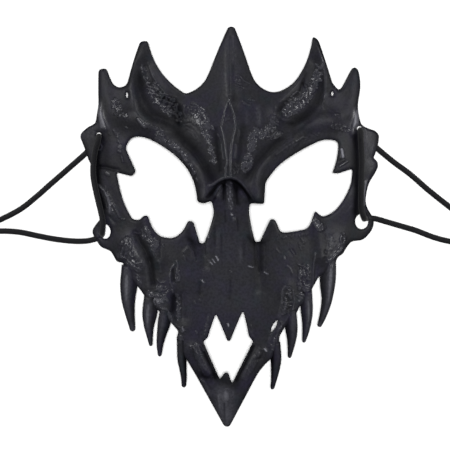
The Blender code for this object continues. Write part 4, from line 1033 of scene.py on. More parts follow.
@dataclass
class Relief:
    """The height of the mask's front and back over the floor, and the painted light and shade on its skin.

    Attributes:
        tone, cord_tone: Painted light for each millimetre of height, on soft strokes and bands and on cords:
            raised strokes get a painted highlight and grooves painted shade.
        tone_most: The most painted highlight that one soft stroke or band brings.
        bead_margin: How far round the veins the hollows between them count as pits, which get painted shade.
        bead_height: Height of a vein that gets the full painted highlight.
        painted_light_range: From -1 for painted shade in a pit over 0 on plain skin and 1 for a painted
            highlight on a bead to 2 for the brightest painted highlight.
        slope_reach: How far to either side a slope is measured.
        waves: Height, size and slice of each unevenness of a hand-made pattern.
    """

    veins: Veins
    tone: float = 0.85
    tone_most: float = 0.28
    cord_tone: float = 1.1
    bead_margin: float = 0.5
    bead_height: float = 0.5
    painted_light_range: tuple = (-1.0, 2.0)
    slope_reach: float = 0.5
    waves: tuple = ((0.30, 9.0, 3.1), (0.10, 2.6, 7.7))

    def __post_init__(self) -> None:
        """Read the sections' columns."""
        self.places, self.depths, self.falls = (np.array(column) for column in zip(*SECTIONS))

    def face(self, x: np.ndarray, y: np.ndarray) -> np.ndarray:
        """Depth of the plain curved face.

        Args:
            x, y: Places across and up the mask.

        Returns:
            Heights over the floor.
        """
        depth = smooth_through(self.depths, self.places, y)
        fall = smooth_through(self.falls, self.places, y)
        return depth - fall * ((x - MIDDLE_X) / FALL_AT)**2

    @staticmethod
    def brow(x: np.ndarray, y: np.ndarray) -> np.ndarray:
        """Height of the brow over the nose, ending below in an arched lip.

        Args:
            x, y: Places across and up the mask.

        Returns:
            Heights over the plain face.
        """
        across = (x - LIP_MIDDLE[0]) / LIP_HALF_WIDTH
        lip = LIP_MIDDLE[1] - LIP_DROP * np.minimum(across**2, 1.0)
        above_lip = smooth_step(-LIP_SOFTNESS, LIP_SOFTNESS, y - lip)
        fade_up = 1.0 - smooth_step(BROW_FADE_Y[0], BROW_FADE_Y[1], y)
        fade_out = 1.0 - smooth_step(LIP_HALF_WIDTH, BROW_REACH_X, np.abs(x - LIP_MIDDLE[0]))
        return BROW_STAND * above_lip * fade_up * fade_out

    def main(self, x: np.ndarray, y: np.ndarray) -> np.ndarray:
        """Height of the face with its main forms, as in the solid model.

        Args:
            x, y: Places across and up the mask.

        Returns:
            Heights over the floor.
        """
        height = self.face(x, y) + self.brow(x, y)
        for ridge in RIDGES:
            distance = distance_to_line(x, y, ridge.line)
            height = height + ridge.height * np.exp(-(distance / ridge.spread)**2)
        return height

    def detail(self, x: np.ndarray, y: np.ndarray) -> tuple[np.ndarray, np.ndarray]:
        """Height of the fine relief over the main forms, and the painted light and shade there.

        Args:
            x: Places across the mask.
            y: Places up the mask.

        Returns:
            Heights in millimetres, and painted light within painted_light_range.
        """
        total = np.zeros(np.shape(x))
        # Painted light and shade: raised strokes and veins are painted lighter, grooves and pits darker, and
        # the listed lines add more
        painted_light = np.zeros(np.shape(x))
        for stroke in STROKES:
            share = distance_to_line(x, y, stroke.line) / stroke.width
            if stroke.form is Form.CORD:
                rise = np.sqrt(np.clip(1.0 - share**2, 0.0, 1.0))
                painted_light = np.maximum(painted_light, min(1.0, self.cord_tone * stroke.height) * rise)
            else:
                soft = stroke.form is Form.SOFT
                rise = np.exp(-share**2) if soft else np.clip(1.0 - share**4, 0.0, 1.0)
                painted_light = painted_light + max(-1.0, min(self.tone * stroke.height, self.tone_most)) * rise
            total += stroke.height * rise
        beads = self.veins.height(x, y)
        crowded = self.veins.near(x, y, self.bead_margin)
        # A painted highlight on the veins and painted shade in the pits between them
        on_beads = np.clip(beads / self.bead_height, 0.0, 1.0) * 2.0 - 1.0
        painted_light = np.where(crowded, np.maximum(painted_light, on_beads), painted_light)
        for place in PAINTED_LIGHT_LINES:
            painted_light = painted_light + place.painted_light * np.exp(-(distance_to_line(x, y, place.line) / place.width)**2)
        return total + beads, np.clip(painted_light, *self.painted_light_range)

    def waver(self, x: np.ndarray, y: np.ndarray) -> np.ndarray:
        """The slight unevenness of a hand-made pattern."""
        return np.array([sum(height * noise.noise(Vector((a / size, b / size, level)))
                             for height, size, level in self.waves) for a, b in zip(x, y)])

    def wall(self, x: np.ndarray, y: np.ndarray) -> np.ndarray:
        """The wall's thickness measured straight up, which grows where the face is steep.

        Args:
            x, y: Places across and up the mask.

        Returns:
            Thicknesses in millimetres.
        """
        reach = self.slope_reach
        slope_x = (self.main(x + reach, y) - self.main(x - reach, y)) / (2.0 * reach)
        slope_y = (self.main(x, y + reach) - self.main(x, y - reach)) / (2.0 * reach)
        return WALL * np.sqrt(1.0 + slope_x**2 + slope_y**2)


class Moulding:
    """What the pieces of the black moulding share: their painted light and shade, their finish and their
    place in the frame.
    """

    @staticmethod
    def dress(name: str, mesh: bpy.types.Mesh, painted_light: Sequence,
              plastic: bpy.types.Material) -> bpy.types.Object:
        """Make a finished piece of a mesh.

        Args:
            name: Name of the piece.
            mesh: Its mesh in metres.
            painted_light: Painted light and shade at each vertex, which the plastic's colour and finish read.
            plastic: Its material.

        Returns:
            The linked piece, attached to the frame's body.
        """
        mesh.shade_smooth()
        # Painted light and shade at every vertex, for the plastic's colour and finish
        shade = mesh.attributes.new("painted_light", "FLOAT", "POINT")
        shade.data.foreach_set("value", np.asarray(painted_light, dtype=np.float32))
        mesh.materials.append(plastic)
        piece = link(bpy.data.objects.new(name, mesh))
        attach(piece, BODY)
        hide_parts("mask_shell")
        return piece


@dataclass
class MaskShell(Moulding):
    """The moulded shell: a fine front, a plain back and the walls between them round every outline.

    Attributes:
        strands: The elastic's centre lines, which the back is kept clear of.
        box: Left, low, right and high ends of the lattices of points.
        edge_rings, back_rings, ring_room: Where rings of points follow an outline, and the share of that
            distance which has to be free.
        edge_room, back_room: Room round the lattice, as shares of the last ring and of the back's step.
        fine_width, fine_reach: Strokes narrower than this are fine relief, out to so many half widths.
        edge_bite, edge_relief: Depth of the edge's rounding, and the share of fine relief left on it.
        flat_back: Height over the floor under which the back lies on it.
        strand_gap, strand_high, strand_drop: How far and where the back gives way to the elastic.
        search_step: Spacing of the points that distances from an outline are measured to.
        touching: Share of OUTLINE_STEP within which two points of an outline count as one.
    """

    relief: Relief
    strands: Sequence[Sequence[Vector]]
    box: tuple = (-92.0, -121.0, 92.0, 123.0)
    coarse_step: float = 1.15
    fine_step: float = 0.4
    back_step: float = 2.6
    edge_rings: tuple = (0.28, 0.8, 1.6)
    back_rings: tuple = (0.5,)
    ring_room: float = 0.93
    edge_room: float = 0.6
    back_room: float = 0.5
    vein_margin: float = 0.4
    fine_width: float = 2.5
    fine_reach: float = 1.9
    edge_radius: float = 2.3
    edge_bite: float = 0.96
    edge_relief: float = 0.35
    back_radius: float = 0.6
    least_wall: float = 1.0
    least_gap: float = 0.3
    flat_back: float = 0.05
    strand_gap: float = 0.25
    strand_high: float = 9.0
    strand_drop: float = 2.0
    search_step: float = 0.25
    touching: float = 0.2

    def __post_init__(self) -> None:
        """Sample the outlines."""
        outlines = [Outline(rows) for rows in (RIM, LEFT_EYE, RIGHT_EYE, MOUTH, JAW_SLIT)]
        self.loops = [self._thinned(outline.points()) for outline in (*outlines, *STRAP_HOLES)]
        self.rim_tree = self._tree()

    def _thinned(self, points: list[Vector]) -> list[Vector]:
        """Drop points that nearly touch the one before.

        Args:
            points: Points round a closed outline.

        Returns:
            Those that are kept.
        """
        least = OUTLINE_STEP * self.touching
        kept = [points[0]]
        for point in points[1:]:
            if (point - kept[-1]).length > least:
                kept.append(point)
        if (kept[-1] - kept[0]).length < least:
            kept.pop()
        return kept

    def _tree(self) -> KDTree:
        """A search tree of points close together on every outline."""
        dense = []
        for loop in self.loops:
            for a, b in zip(loop, loop[1:] + loop[:1]):
                count = max(1, round((b - a).length / self.search_step))
                dense.extend(a.lerp(b, index / count) for index in range(count))
        tree = KDTree(len(dense))
        for index, place in enumerate(dense):
            tree.insert(place.to_3d(), index)
        tree.balance()
        return tree

    def _from_edge(self, x: np.ndarray, y: np.ndarray) -> np.ndarray:
        """Distance of points from the nearest outline."""
        return np.array([self.rim_tree.find((a, b, 0.0))[2] for a, b in zip(x, y)])

    def _inside(self, x: np.ndarray, y: np.ndarray) -> np.ndarray:
        """Whether points lie on the shell, by the count of outlines crossed.

        Args:
            x, y: Places across and up the mask.

        Returns:
            A truth value for each point.
        """
        inside = np.zeros(len(x), dtype=bool)
        for loop in self.loops:
            for a, b in zip(loop, loop[1:] + loop[:1]):
                if a.y == b.y:
                    continue
                crosses = (a.y > y) != (b.y > y)
                inside ^= crosses & (x < (b.x - a.x) * (y - a.y) / (b.y - a.y) + a.x)
        return inside

    def _lattice(self, step: float) -> tuple[np.ndarray, np.ndarray]:
        """Points of a triangular lattice over the mask's box.

        Args:
            step: Spacing of the points.

        Returns:
            Their places across and up the mask.
        """
        left, low, right, high = self.box
        xs, ys = [], []
        for number, y in enumerate(np.arange(low, high, step * math.sqrt(3.0) / 2.0)):
            line = np.arange(left + (step / 2.0 if number % 2 else 0.0), right, step)
            xs.append(line)
            ys.append(np.full(len(line), y))
        return np.concatenate(xs), np.concatenate(ys)

    def _rings(self, offsets: Sequence[float]) -> list[Vector]:
        """Points set in from the outlines, where there is room for them.

        Args:
            offsets: Distances from the outlines.

        Returns:
            The points that lie on the shell.
        """
        places, depths = [], []
        for loop in self.loops:
            for before, here, after in zip(loop[-1:] + loop[:-1], loop, loop[1:] + loop[:1]):
                run = (after - before).normalized()
                for offset in offsets:
                    for side in (-1.0, 1.0):
                        places.append(here + Vector((-run.y, run.x)) * (offset * side))
                        depths.append(offset)
        x, y = np.array([tuple(place) for place in places]).T
        fits = self._inside(x, y) & (self._from_edge(x, y) > np.array(depths) * self.ring_room)
        return [place for place, fit in zip(places, fits) if fit]

    def _triangulate(self, inner: list[Vector]) -> tuple[np.ndarray, list]:
        """Triangles over the shell through the outlines and inner points.

        Args:
            inner: Points that lie on the shell, away from its outlines.

        Returns:
            Points as rows of x and y, the outlines' first, and triangles turned to face +Z.
        """
        points, edges = [], []
        for loop in self.loops:
            start = len(points)
            points.extend(loop)
            edges.extend((start + index, start + (index + 1) % len(loop)) for index in range(len(loop)))
        border = len(points)
        flat, _, faces, _, _, _ = delaunay_2d_cdt(points + inner, edges, [], 0, 1.0e-5, True)
        flat = np.array([tuple(place) for place in flat])
        corners = np.array([tuple(face) for face in faces])
        a, b, c = (flat[corners[:, index]] for index in range(3))
        area = (b[:, 0] - a[:, 0]) * (c[:, 1] - a[:, 1]) - (b[:, 1] - a[:, 1]) * (c[:, 0] - a[:, 0])
        corners[area < 0.0] = corners[area < 0.0][:, ::-1]
        keep = np.ones(len(corners), dtype=bool)
        doubtful = np.nonzero((corners < border).all(axis=1))[0]
        middle = flat[corners[doubtful]].mean(axis=1)
        keep[doubtful] = self._inside(middle[:, 0], middle[:, 1])
        return flat, corners[keep].tolist()

    def _inner(self, x: np.ndarray, y: np.ndarray, gap: float) -> list[Vector]:
        """Those points that lie on the shell, and further than a gap from its outlines.

        Args:
            x, y: Places across and up the mask.
            gap: Least distance from an outline.

        Returns:
            The points that are kept.
        """
        kept = self._inside(x, y)
        x, y = x[kept], y[kept]
        away = self._from_edge(x, y) > gap
        return [Vector(place) for place in zip(x[away], y[away])]

    def _front_lattice(self) -> tuple[np.ndarray, np.ndarray]:
        """Points close together on fine relief and wide apart elsewhere."""
        wide_x, wide_y = self._lattice(self.coarse_step)
        close_x, close_y = self._lattice(self.fine_step)
        wide = ~self._is_fine(wide_x, wide_y)
        close = self._is_fine(close_x, close_y)
        return np.concatenate((wide_x[wide], close_x[close])), np.concatenate((wide_y[wide], close_y[close]))

    def _is_fine(self, x: np.ndarray, y: np.ndarray) -> np.ndarray:
        """Whether points lie on relief too small for the wide lattice.

        Args:
            x, y: Places across and up the mask.

        Returns:
            A truth value for each point.
        """
        fine = self.relief.veins.near(x, y, self.vein_margin)
        for stroke in STROKES:
            if stroke.width < self.fine_width:
                fine |= distance_to_line(x, y, stroke.line) < stroke.width * self.fine_reach
        return fine

    def _front(self, flat: np.ndarray) -> tuple[np.ndarray, np.ndarray]:
        """Heights of the front over points, and the painted light and shade on its skin.

        Args:
            flat: Rows of x and y.

        Returns:
            Heights and painted light.
        """
        x, y = flat[:, 0], flat[:, 1]
        away = self._from_edge(x, y)
        main = self.relief.main(x, y)
        detail, painted_light = self.relief.detail(x, y)
        settle = smooth_step(0.0, self.edge_radius, away)
        top = main + detail * (self.edge_relief + (1.0 - self.edge_relief) * settle) + self.relief.waver(x, y)
        under = np.maximum(main - self.relief.wall(x, y), 0.0)
        radius = np.clip(np.minimum(self.edge_radius, top - under - self.least_wall), 0.0, self.edge_radius)
        short = np.clip(1.0 - away / np.maximum(radius, 1.0e-6), 0.0, 1.0)
        drop = radius * (1.0 - np.sqrt(1.0 - short**2 * self.edge_bite))
        return np.maximum(top - drop, self.least_wall), painted_light

    def _back(self, flat: np.ndarray) -> np.ndarray:
        """Heights of the back, raised over the elastic's strands and rounded at its edges.

        Args:
            flat: Rows of x and y.

        Returns:
            Heights in millimetres.
        """
        x, y = flat[:, 0], flat[:, 1]
        under = np.maximum(self.relief.main(x, y) - self.relief.wall(x, y), 0.0)
        short = np.clip(1.0 - self._from_edge(x, y) / self.back_radius, 0.0, 1.0)
        # Where the back lies on the floor its edge stays flat
        under = under + np.where(under > self.flat_back, self.back_radius * short**2, 0.0)
        reach = CORD_DIAMETER / 2.0 + self.strand_gap
        for place in (place for strand in self.strands for place in strand if place.z <= self.strand_high):
            gap = np.hypot(x - place.x, y - place.y)
            over = place.z + np.sqrt(np.clip(reach**2 - gap**2, 0.0, None))
            covers = (gap < reach) & (under > place.z - self.strand_drop)
            under = np.where(covers, np.maximum(under, over), under)
        return under

    def _walls(self, start: int) -> list[list[int]]:
        """Faces that join the front to the back round every outline.

        Args:
            start: Number of the back's first vertex.

        Returns:
            Faces of four corners, turned outwards.
        """
        faces = []
        first = 0
        for loop in self.loops:
            area = sum(a.x * b.y - b.x * a.y for a, b in zip(loop, loop[1:] + loop[:1]))
            turned = (area < 0.0) == (loop is self.loops[0])
            for index in range(len(loop)):
                here, after = first + index, first + (index + 1) % len(loop)
                wall = [here, after, start + after, start + here]
                faces.append(wall if turned else wall[::-1])
            first += len(loop)
        return faces

    def build(self, plastic: bpy.types.Material) -> bpy.types.Object:
        """Build the closed shell.

        Args:
            plastic: Its material.

        Returns:
            The finished piece.
        """
        front_inner = self._inner(*self._front_lattice(), self.edge_rings[-1] * self.edge_room)
        back_inner = self._inner(*self._lattice(self.back_step), self.back_step * self.back_room)
        front_flat, front_faces = self._triangulate(self._rings(self.edge_rings) + front_inner)
        back_flat, back_faces = self._triangulate(self._rings(self.back_rings) + back_inner)
        front_z, painted_light = self._front(front_flat)
        back_z = self._back(back_flat)
        border = sum(len(loop) for loop in self.loops)
        back_z[:border] = np.minimum(back_z[:border], front_z[:border] - self.least_gap)
        start = len(front_flat)
        places = np.column_stack((np.concatenate((front_flat, back_flat)), np.concatenate((front_z, back_z))))
        faces = front_faces + [[start + c, start + b, start + a] for a, b, c in back_faces]
        mesh = bpy.data.meshes.new("shell")
        mesh.from_pydata((places * MM).tolist(), [], faces + self._walls(start))
        mesh.validate()
        return self.dress("shell", mesh, np.concatenate((painted_light, np.zeros(len(back_flat)))), plastic)


@dataclass
class Fangs(Moulding):
    """The hanging fangs, each a tapered body with a crest in front and flutes at its root.

    Places across a fang run from -1 at its inner side to 1, and places along it from 0 at the root to 1.

    Attributes:
        tip_room: How far short of a half circle the round tip ends, in rings.
        crest_power: Roundness of the front half, 2 for a circle and less for a crest.
        inner_painted_shade, inner_shade: How much darker and duller, as painted shade, the fangs near the
            mask's middle are, all over and on the inner flank.
        strength_from, strength_full, least_strength: How the painted highlight streak grows away from the
        middle.
        highlight_start: How fast the painted highlight streak starts at the root.
    """

    relief: Relief
    steps: int = 26
    sides: int = 28
    tip_rings: int = 3
    tip_room: float = 0.6
    crest_power: float = 1.5
    flutes: int = 9
    flute_depth: float = 0.05
    flute_fade: float = 1.4
    flute_turn: float = 1.3
    # Painted light of the fangs: a painted highlight streak down the outer flank, painted shade on the inner
    # flank and a lighter tip
    painted_light: float = 0.25
    inner_painted_shade: float = 0.4
    streak: float = 1.25
    highlight_at: float = 0.3
    highlight_width: float = 0.38
    highlight_middle: float = 0.28
    highlight_length: float = 0.42
    highlight_start: float = 9.0
    strength_from: float = 24.0
    strength_full: float = 48.0
    least_strength: float = 0.15
    shade: float = 0.5
    inner_shade: float = 0.8
    shade_at: float = -0.7
    shade_width: float = 0.42
    tip_light: float = 0.6
    tip_from: float = 0.9

    def _spine(self, stations: Sequence) -> tuple[np.ndarray, np.ndarray, np.ndarray]:
        """Smooth places, radii and shares along a fang, with a rounded tip.

        Args:
            stations: The fang's rows.

        Returns:
            Rows of x, y and z, radii, and places from the root to the tip.
        """
        places, where = np.linspace(0.0, 1.0, len(stations)), np.linspace(0.0, 1.0, self.steps)
        columns = zip(*(FangStation(*row) for row in stations))
        x, y, radius = (smooth_through(np.array(column), places, where) for column in columns)
        z = self.relief.face(x, y) - FANG_SINK * radius - FANG_CURL * where**2
        line = np.column_stack((x, y, z))
        run = (line[-1] - line[-2]) / np.linalg.norm(line[-1] - line[-2])
        end, size = line[-1], radius[-1]
        for ring in range(1, self.tip_rings + 1):
            angle = math.pi / 2.0 * ring / (self.tip_rings + self.tip_room)
            line = np.vstack((line, end + run * size * math.sin(angle)))
            radius = np.append(radius, size * math.cos(angle))
            where = np.append(where, 1.0)
        return line, radius, where

    def _ring(self, radius: float, along: float, phase: float) -> list[tuple[float, float]]:
        """Offsets round one section, across the fang and out of the face.

        Args:
            radius: Radius of the section.
            along: Place from the root to the tip.
            phase: How far the flutes are turned.

        Returns:
            Pairs of offsets in order.
        """
        offsets = []
        for number in range(self.sides):
            angle = math.tau * number / self.sides
            across, out = math.cos(angle), math.sin(angle)
            power = self.crest_power if out > 0.0 else 2.0
            size = radius / (abs(across)**power + abs(out)**power)**(1.0 / power)
            flute = math.cos(self.flutes * angle + phase) * (1.0 - along)**self.flute_fade
            size *= 1.0 + self.flute_depth * flute
            offsets.append((size * across, size * out))
        return offsets

    def _painted_light_at(self, side: float, along: float, strength: float) -> float:
        """Painted light and shade at one place of a fang: a painted highlight streak, painted shade on the
        inner flank and a lighter tip.

        Args:
            side: Place across the fang, from -1 to 1.
            along: Place from the root to the tip.
            strength: How strong the streak is, from 0 to 1.

        Returns:
            The painted light and shade for the plastic's colour and finish.
        """
        # Painted highlight streak, painted shade on the inner flank, and a lighter tip
        streak = strength * self.streak * bell(side, self.highlight_at, self.highlight_width)
        streak *= bell(along, self.highlight_middle, self.highlight_length)
        shade = self.shade + self.inner_shade * (1.0 - strength) * (1.0 - along)
        shade *= bell(side, self.shade_at, self.shade_width)
        tip = self.tip_light * max(0.0, along - self.tip_from) / (1.0 - self.tip_from)
        return self.painted_light - self.inner_painted_shade * (1.0 - strength) + streak - shade + tip

    def _fang(self, body: bmesh.types.BMesh, stations: Sequence, phase: float) -> list[float]:
        """Add one fang to the mesh.

        Args:
            body: The mesh in the making.
            stations: The fang's rows.
            phase: How far its flutes are turned.

        Returns:
            The painted light and shade at each of its vertices.
        """
        line, radius, where = self._spine(stations)
        outer = -math.copysign(1.0, line[0][0])
        strength = (abs(line[0][0]) - self.strength_from) / (self.strength_full - self.strength_from)
        strength = min(1.0, max(self.least_strength, strength))
        rings, shades = [], []
        for place, size, along, run in zip(line, radius, where, np.gradient(line, axis=0)):
            ahead = Vector(run).normalized()
            across = ahead.cross(Vector((0.0, 0.0, 1.0))).normalized()
            out = across.cross(ahead).normalized()
            offsets = self._ring(size, along, phase)
            rings.append([body.verts.new((Vector(place) + across * a + out * b) * MM) for a, b in offsets])
            shown = strength * min(1.0, along * self.highlight_start)
            shades += [self._painted_light_at(outer * a / size, along, shown) for a, _ in offsets]
        for lower, upper in zip(rings, rings[1:]):
            for number in range(self.sides):
                after = (number + 1) % self.sides
                body.faces.new((lower[number], lower[after], upper[after], upper[number]))
        body.faces.new(rings[0][::-1])
        body.faces.new(rings[-1])
        return shades

    def build(self, plastic: bpy.types.Material) -> bpy.types.Object:
        """Build all fangs as one piece.

        Args:
            plastic: Its material.

        Returns:
            The finished piece.
        """
        body = bmesh.new()
        painted_light = []
        for order, stations in enumerate(FANGS.values()):
            painted_light += self._fang(body, stations, order * self.flute_turn)
        bmesh.ops.recalc_face_normals(body, faces=body.faces)
        mesh = bpy.data.meshes.new("fangs")
        body.to_mesh(mesh)
        body.free()
        return self.dress("fangs", mesh, painted_light, plastic)


@dataclass
class Braid:
    """A braided tube along a curve, as a Geometry Nodes group.

    Attributes:
        strands, pitch, depth: Crossings round the braid, length of one turn, and depth of its furrows.
    """

    material: bpy.types.Material
    sides: int = 24
    ring_step: float = 0.55
    strands: float = 8.0
    pitch: float = 3.1
    depth: float = 0.16

    def __post_init__(self) -> None:
        """Lay out the group: resample, sweep a circle, push the surface out in crossing strands."""
        self.group = bpy.data.node_groups.new("braided tube", "GeometryNodeTree")
        tree, face = self.group, self.group.interface
        face.new_socket("Curve", in_out="INPUT", socket_type="NodeSocketGeometry")
        for name in ("Radius", "Strands", "Pitch", "Depth"):
            face.new_socket(name, in_out="INPUT", socket_type="NodeSocketFloat")
        face.new_socket("Tube", in_out="OUTPUT", socket_type="NodeSocketGeometry")
        given = add_node(tree, "NodeGroupInput").outputs
        even = add_node(tree, "GeometryNodeResampleCurve",
                        {"Curve": given["Curve"], "Length": self.ring_step * MM}, mode="LENGTH")
        circle = add_node(tree, "GeometryNodeCurvePrimitiveCircle",
                          {"Resolution": self.sides, "Radius": given["Radius"]})
        kept = []
        for curve, measure in ((even, "Length"), (circle, "Factor")):
            hold = add_node(tree, "GeometryNodeCaptureAttribute", {"Geometry": curve.outputs[0]},
                            domain="POINT")
            hold.capture_items.new("FLOAT", measure)
            place = add_node(tree, "GeometryNodeSplineParameter")
            feed(tree, hold, {measure: place.outputs[measure]})
            kept.append(hold)
        along, around = kept
        tube = add_node(tree, "GeometryNodeCurveToMesh",
                        {"Curve": along.outputs[0], "Profile Curve": around.outputs[0], "Fill Caps": True})
        sums = {"along": along.outputs["Length"], "around": around.outputs["Factor"],
                "strands": given["Strands"], "pitch": given["Pitch"], "depth": given["Depth"]}
        for name, operation, first, second in (
                ("half turns", "MULTIPLY", "strands", math.pi),
                ("turned", "MULTIPLY", "around", "half turns"),
                ("pitches", "DIVIDE", "along", "pitch"),
                ("gone", "MULTIPLY", "pitches", math.tau),
                ("one way", "ADD", "turned", "gone"),
                ("other way", "SUBTRACT", "turned", "gone"),
                ("one wave", "SINE", "one way", 0.0),
                ("other wave", "SINE", "other way", 0.0),
                ("one strand", "ABSOLUTE", "one wave", 0.0),
                ("other strand", "ABSOLUTE", "other wave", 0.0),
                ("upper strand", "MAXIMUM", "one strand", "other strand"),
                ("furrow", "SUBTRACT", "upper strand", 1.0),
                ("push", "MULTIPLY", "furrow", "depth")):
            inputs = {0: sums[first], 1: sums.get(second, second)}
            sums[name] = add_node(tree, "ShaderNodeMath", inputs, operation=operation).outputs[0]
        normal = add_node(tree, "GeometryNodeInputNormal")
        shift = add_node(tree, "ShaderNodeVectorMath", {0: normal.outputs[0], "Scale": sums["push"]},
                         operation="SCALE")
        placed = add_node(tree, "GeometryNodeSetPosition",
                          {"Geometry": tube.outputs[0], "Offset": shift.outputs[0]})
        smooth = add_node(tree, "GeometryNodeSetShadeSmooth", {0: placed.outputs[0]})
        real = add_node(tree, "GeometryNodeRealizeInstances", {0: smooth.outputs[0]})
        dressed = add_node(tree, "GeometryNodeSetMaterial",
                           {"Geometry": real.outputs[0], "Material": self.material})
        add_node(tree, "NodeGroupOutput", {0: dressed.outputs[0]})

    def build(self, name: str, lines: Sequence[Sequence[Vector]], radius: float) -> bpy.types.Object:
        """Build braided tubes along lines, as one mesh object.

        Args:
            name: Name of the new object.
            lines: Centre lines.
            radius: Radius of the tube.

        Returns:
            The linked object.
        """
        curve = bpy.data.curves.new(name + "_line", "CURVE")
        curve.dimensions = "3D"
        for line in lines:
            spline = curve.splines.new("POLY")
            spline.points.add(len(line) - 1)
            for slot, place in zip(spline.points, line):
                slot.co = (*(place * MM), 1.0)
        source = link(bpy.data.objects.new(name + "_line", curve))
        modifier = source.modifiers.new("braid", "NODES")
        modifier.node_group = self.group
        values = {"Radius": radius * MM, "Strands": self.strands, "Pitch": self.pitch * MM,
                  "Depth": self.depth * MM}
        for item in self.group.interface.items_tree:
            if item.name in values and item.in_out == "INPUT":
                modifier[item.identifier] = values[item.name]
        bpy.context.view_layer.update()
        graph = bpy.context.evaluated_depsgraph_get()
        mesh = bpy.data.meshes.new_from_object(source.evaluated_get(graph), depsgraph=graph)
        bpy.data.objects.remove(source, do_unlink=True)
        mesh.name = name
        return link(bpy.data.objects.new(name, mesh))


@dataclass
class ElasticLoop:
    """One loop of elastic with the knot that ties its two ends.

    Attributes:
        pressed: How much thinner the elastic is where it is tied.
        turns, turn_points, turn_start: Turns of the knot, points in each, and the first one's angle.
        turn_from, turn_to, turn_slant: Where the turns lie along the ends, and how they slant.
        turn_across, turn_up, turn_middle: Reach of a turn to the sides and up, and its height.
        tuck_from, tuck: Where the turns draw in to their ends, and by how much.
        core: The ends inside the knot, as distance past the loop, to the side, and height.
    """

    side: str
    route_step: float = 1.2
    pressed: float = 0.1
    turns: float = 2.6
    turn_points: int = 22
    turn_start: float = 0.8
    turn_from: float = 0.6
    turn_to: float = 7.4
    turn_slant: float = 0.9
    turn_across: float = 3.0
    turn_up: float = 2.1
    turn_middle: float = 3.8
    tuck_from: float = 0.86
    tuck: float = 0.45
    core: tuple = ((-0.2, 1.95, 2.0), (2.5, 1.5, 3.3), (6.0, 1.7, 3.0), (9.0, 2.1, 2.0), (12.0, 2.9, 1.9),
                   (15.0, 4.2, 1.9))

    def __post_init__(self) -> None:
        """Work out the loop's line."""
        self.line = curve_through(CORD_ROUTES[self.side], self.route_step)

    def _knot_lines(self) -> list[list[Vector]]:
        """Lines of the knot: the two ends running through, and the turns round them."""
        first, last = self.line[0], self.line[-1]
        outward = math.copysign(1.0, first.x)
        middle_y = (first.y + last.y) / 2.0
        lines = []
        for sign in (-1.0, 1.0):
            route = [(first.x + outward * x, middle_y + sign * y, z) for x, y, z in self.core]
            lines.append(curve_through(route, self.route_step))
        turns = []
        count = round(self.turns * self.turn_points)
        for number in range(count + 1):
            t = number / count
            angle = math.tau * self.turns * t + self.turn_start
            size = 1.0 - self.tuck * smooth_step(self.tuck_from, 1.0, np.array(abs(2.0 * t - 1.0)))
            along = self.turn_from + (self.turn_to - self.turn_from) * t + self.turn_slant * math.sin(angle)
            turns.append(Vector((first.x + outward * along,
                                 middle_y + self.turn_across * size * math.cos(angle),
                                 self.turn_middle + self.turn_up * size * math.sin(angle))))
        lines.append(turns)
        return lines

    def build(self, braid: Braid) -> list[bpy.types.Object]:
        """Args:
            braid: Maker of braided tubes.

        Returns:
            The two finished pieces.
        """
        radius = CORD_DIAMETER / 2.0
        cord = braid.build("braided_elastic_" + self.side, [self.line], radius)
        knot = braid.build("tied_knot_" + self.side, self._knot_lines(), radius - self.pressed)
        for piece, node in ((cord, "elastic_"), (knot, "knot_")):
            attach(piece, BODY)
            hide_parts(node + self.side)
        return [cord, knot]


def start_material(name: str) -> tuple[bpy.types.Material, bpy.types.NodeTree, bpy.types.Node]:
    """Make a material.

    Args:
        name: Name of the material.

    Returns:
        The material, its tree and its Principled shader.
    """
    material = bpy.data.materials.new(name)
    material.use_nodes = True
    return material, material.node_tree, material.node_tree.nodes["Principled BSDF"]


def lumps(tree: bpy.types.NodeTree, size: float, detail: float) -> bpy.types.NodeSocket:
    """Noise over a piece, as a pattern of a real size.

    Args:
        tree: The material's tree.
        size: How far across a lump is, in millimetres.
        detail: How many finer layers it has.

    Returns:
        The noise, from 0 to 1.
    """
    place = add_node(tree, "ShaderNodeTexCoord").outputs["Object"]
    return add_node(tree, "ShaderNodeTexNoise",
                    {"Vector": place, "Scale": 1.0 / (size * MM), "Detail": detail}).outputs[0]


class Layer(NamedTuple):
    """A colour laid over those before it, from none at low to its most at high.

    size is how far across the lumps of its noise are. Where size is 0 the vertices' painted light and shade
    says how much lies there.
    """

    size: float
    detail: float
    low: float
    high: float
    most: float
    colour: str


class Bump(NamedTuple):
    """Fine unevenness of a surface: how far across its lumps are, their detail, strength and height."""

    size: float
    detail: float
    strength: float
    height: float


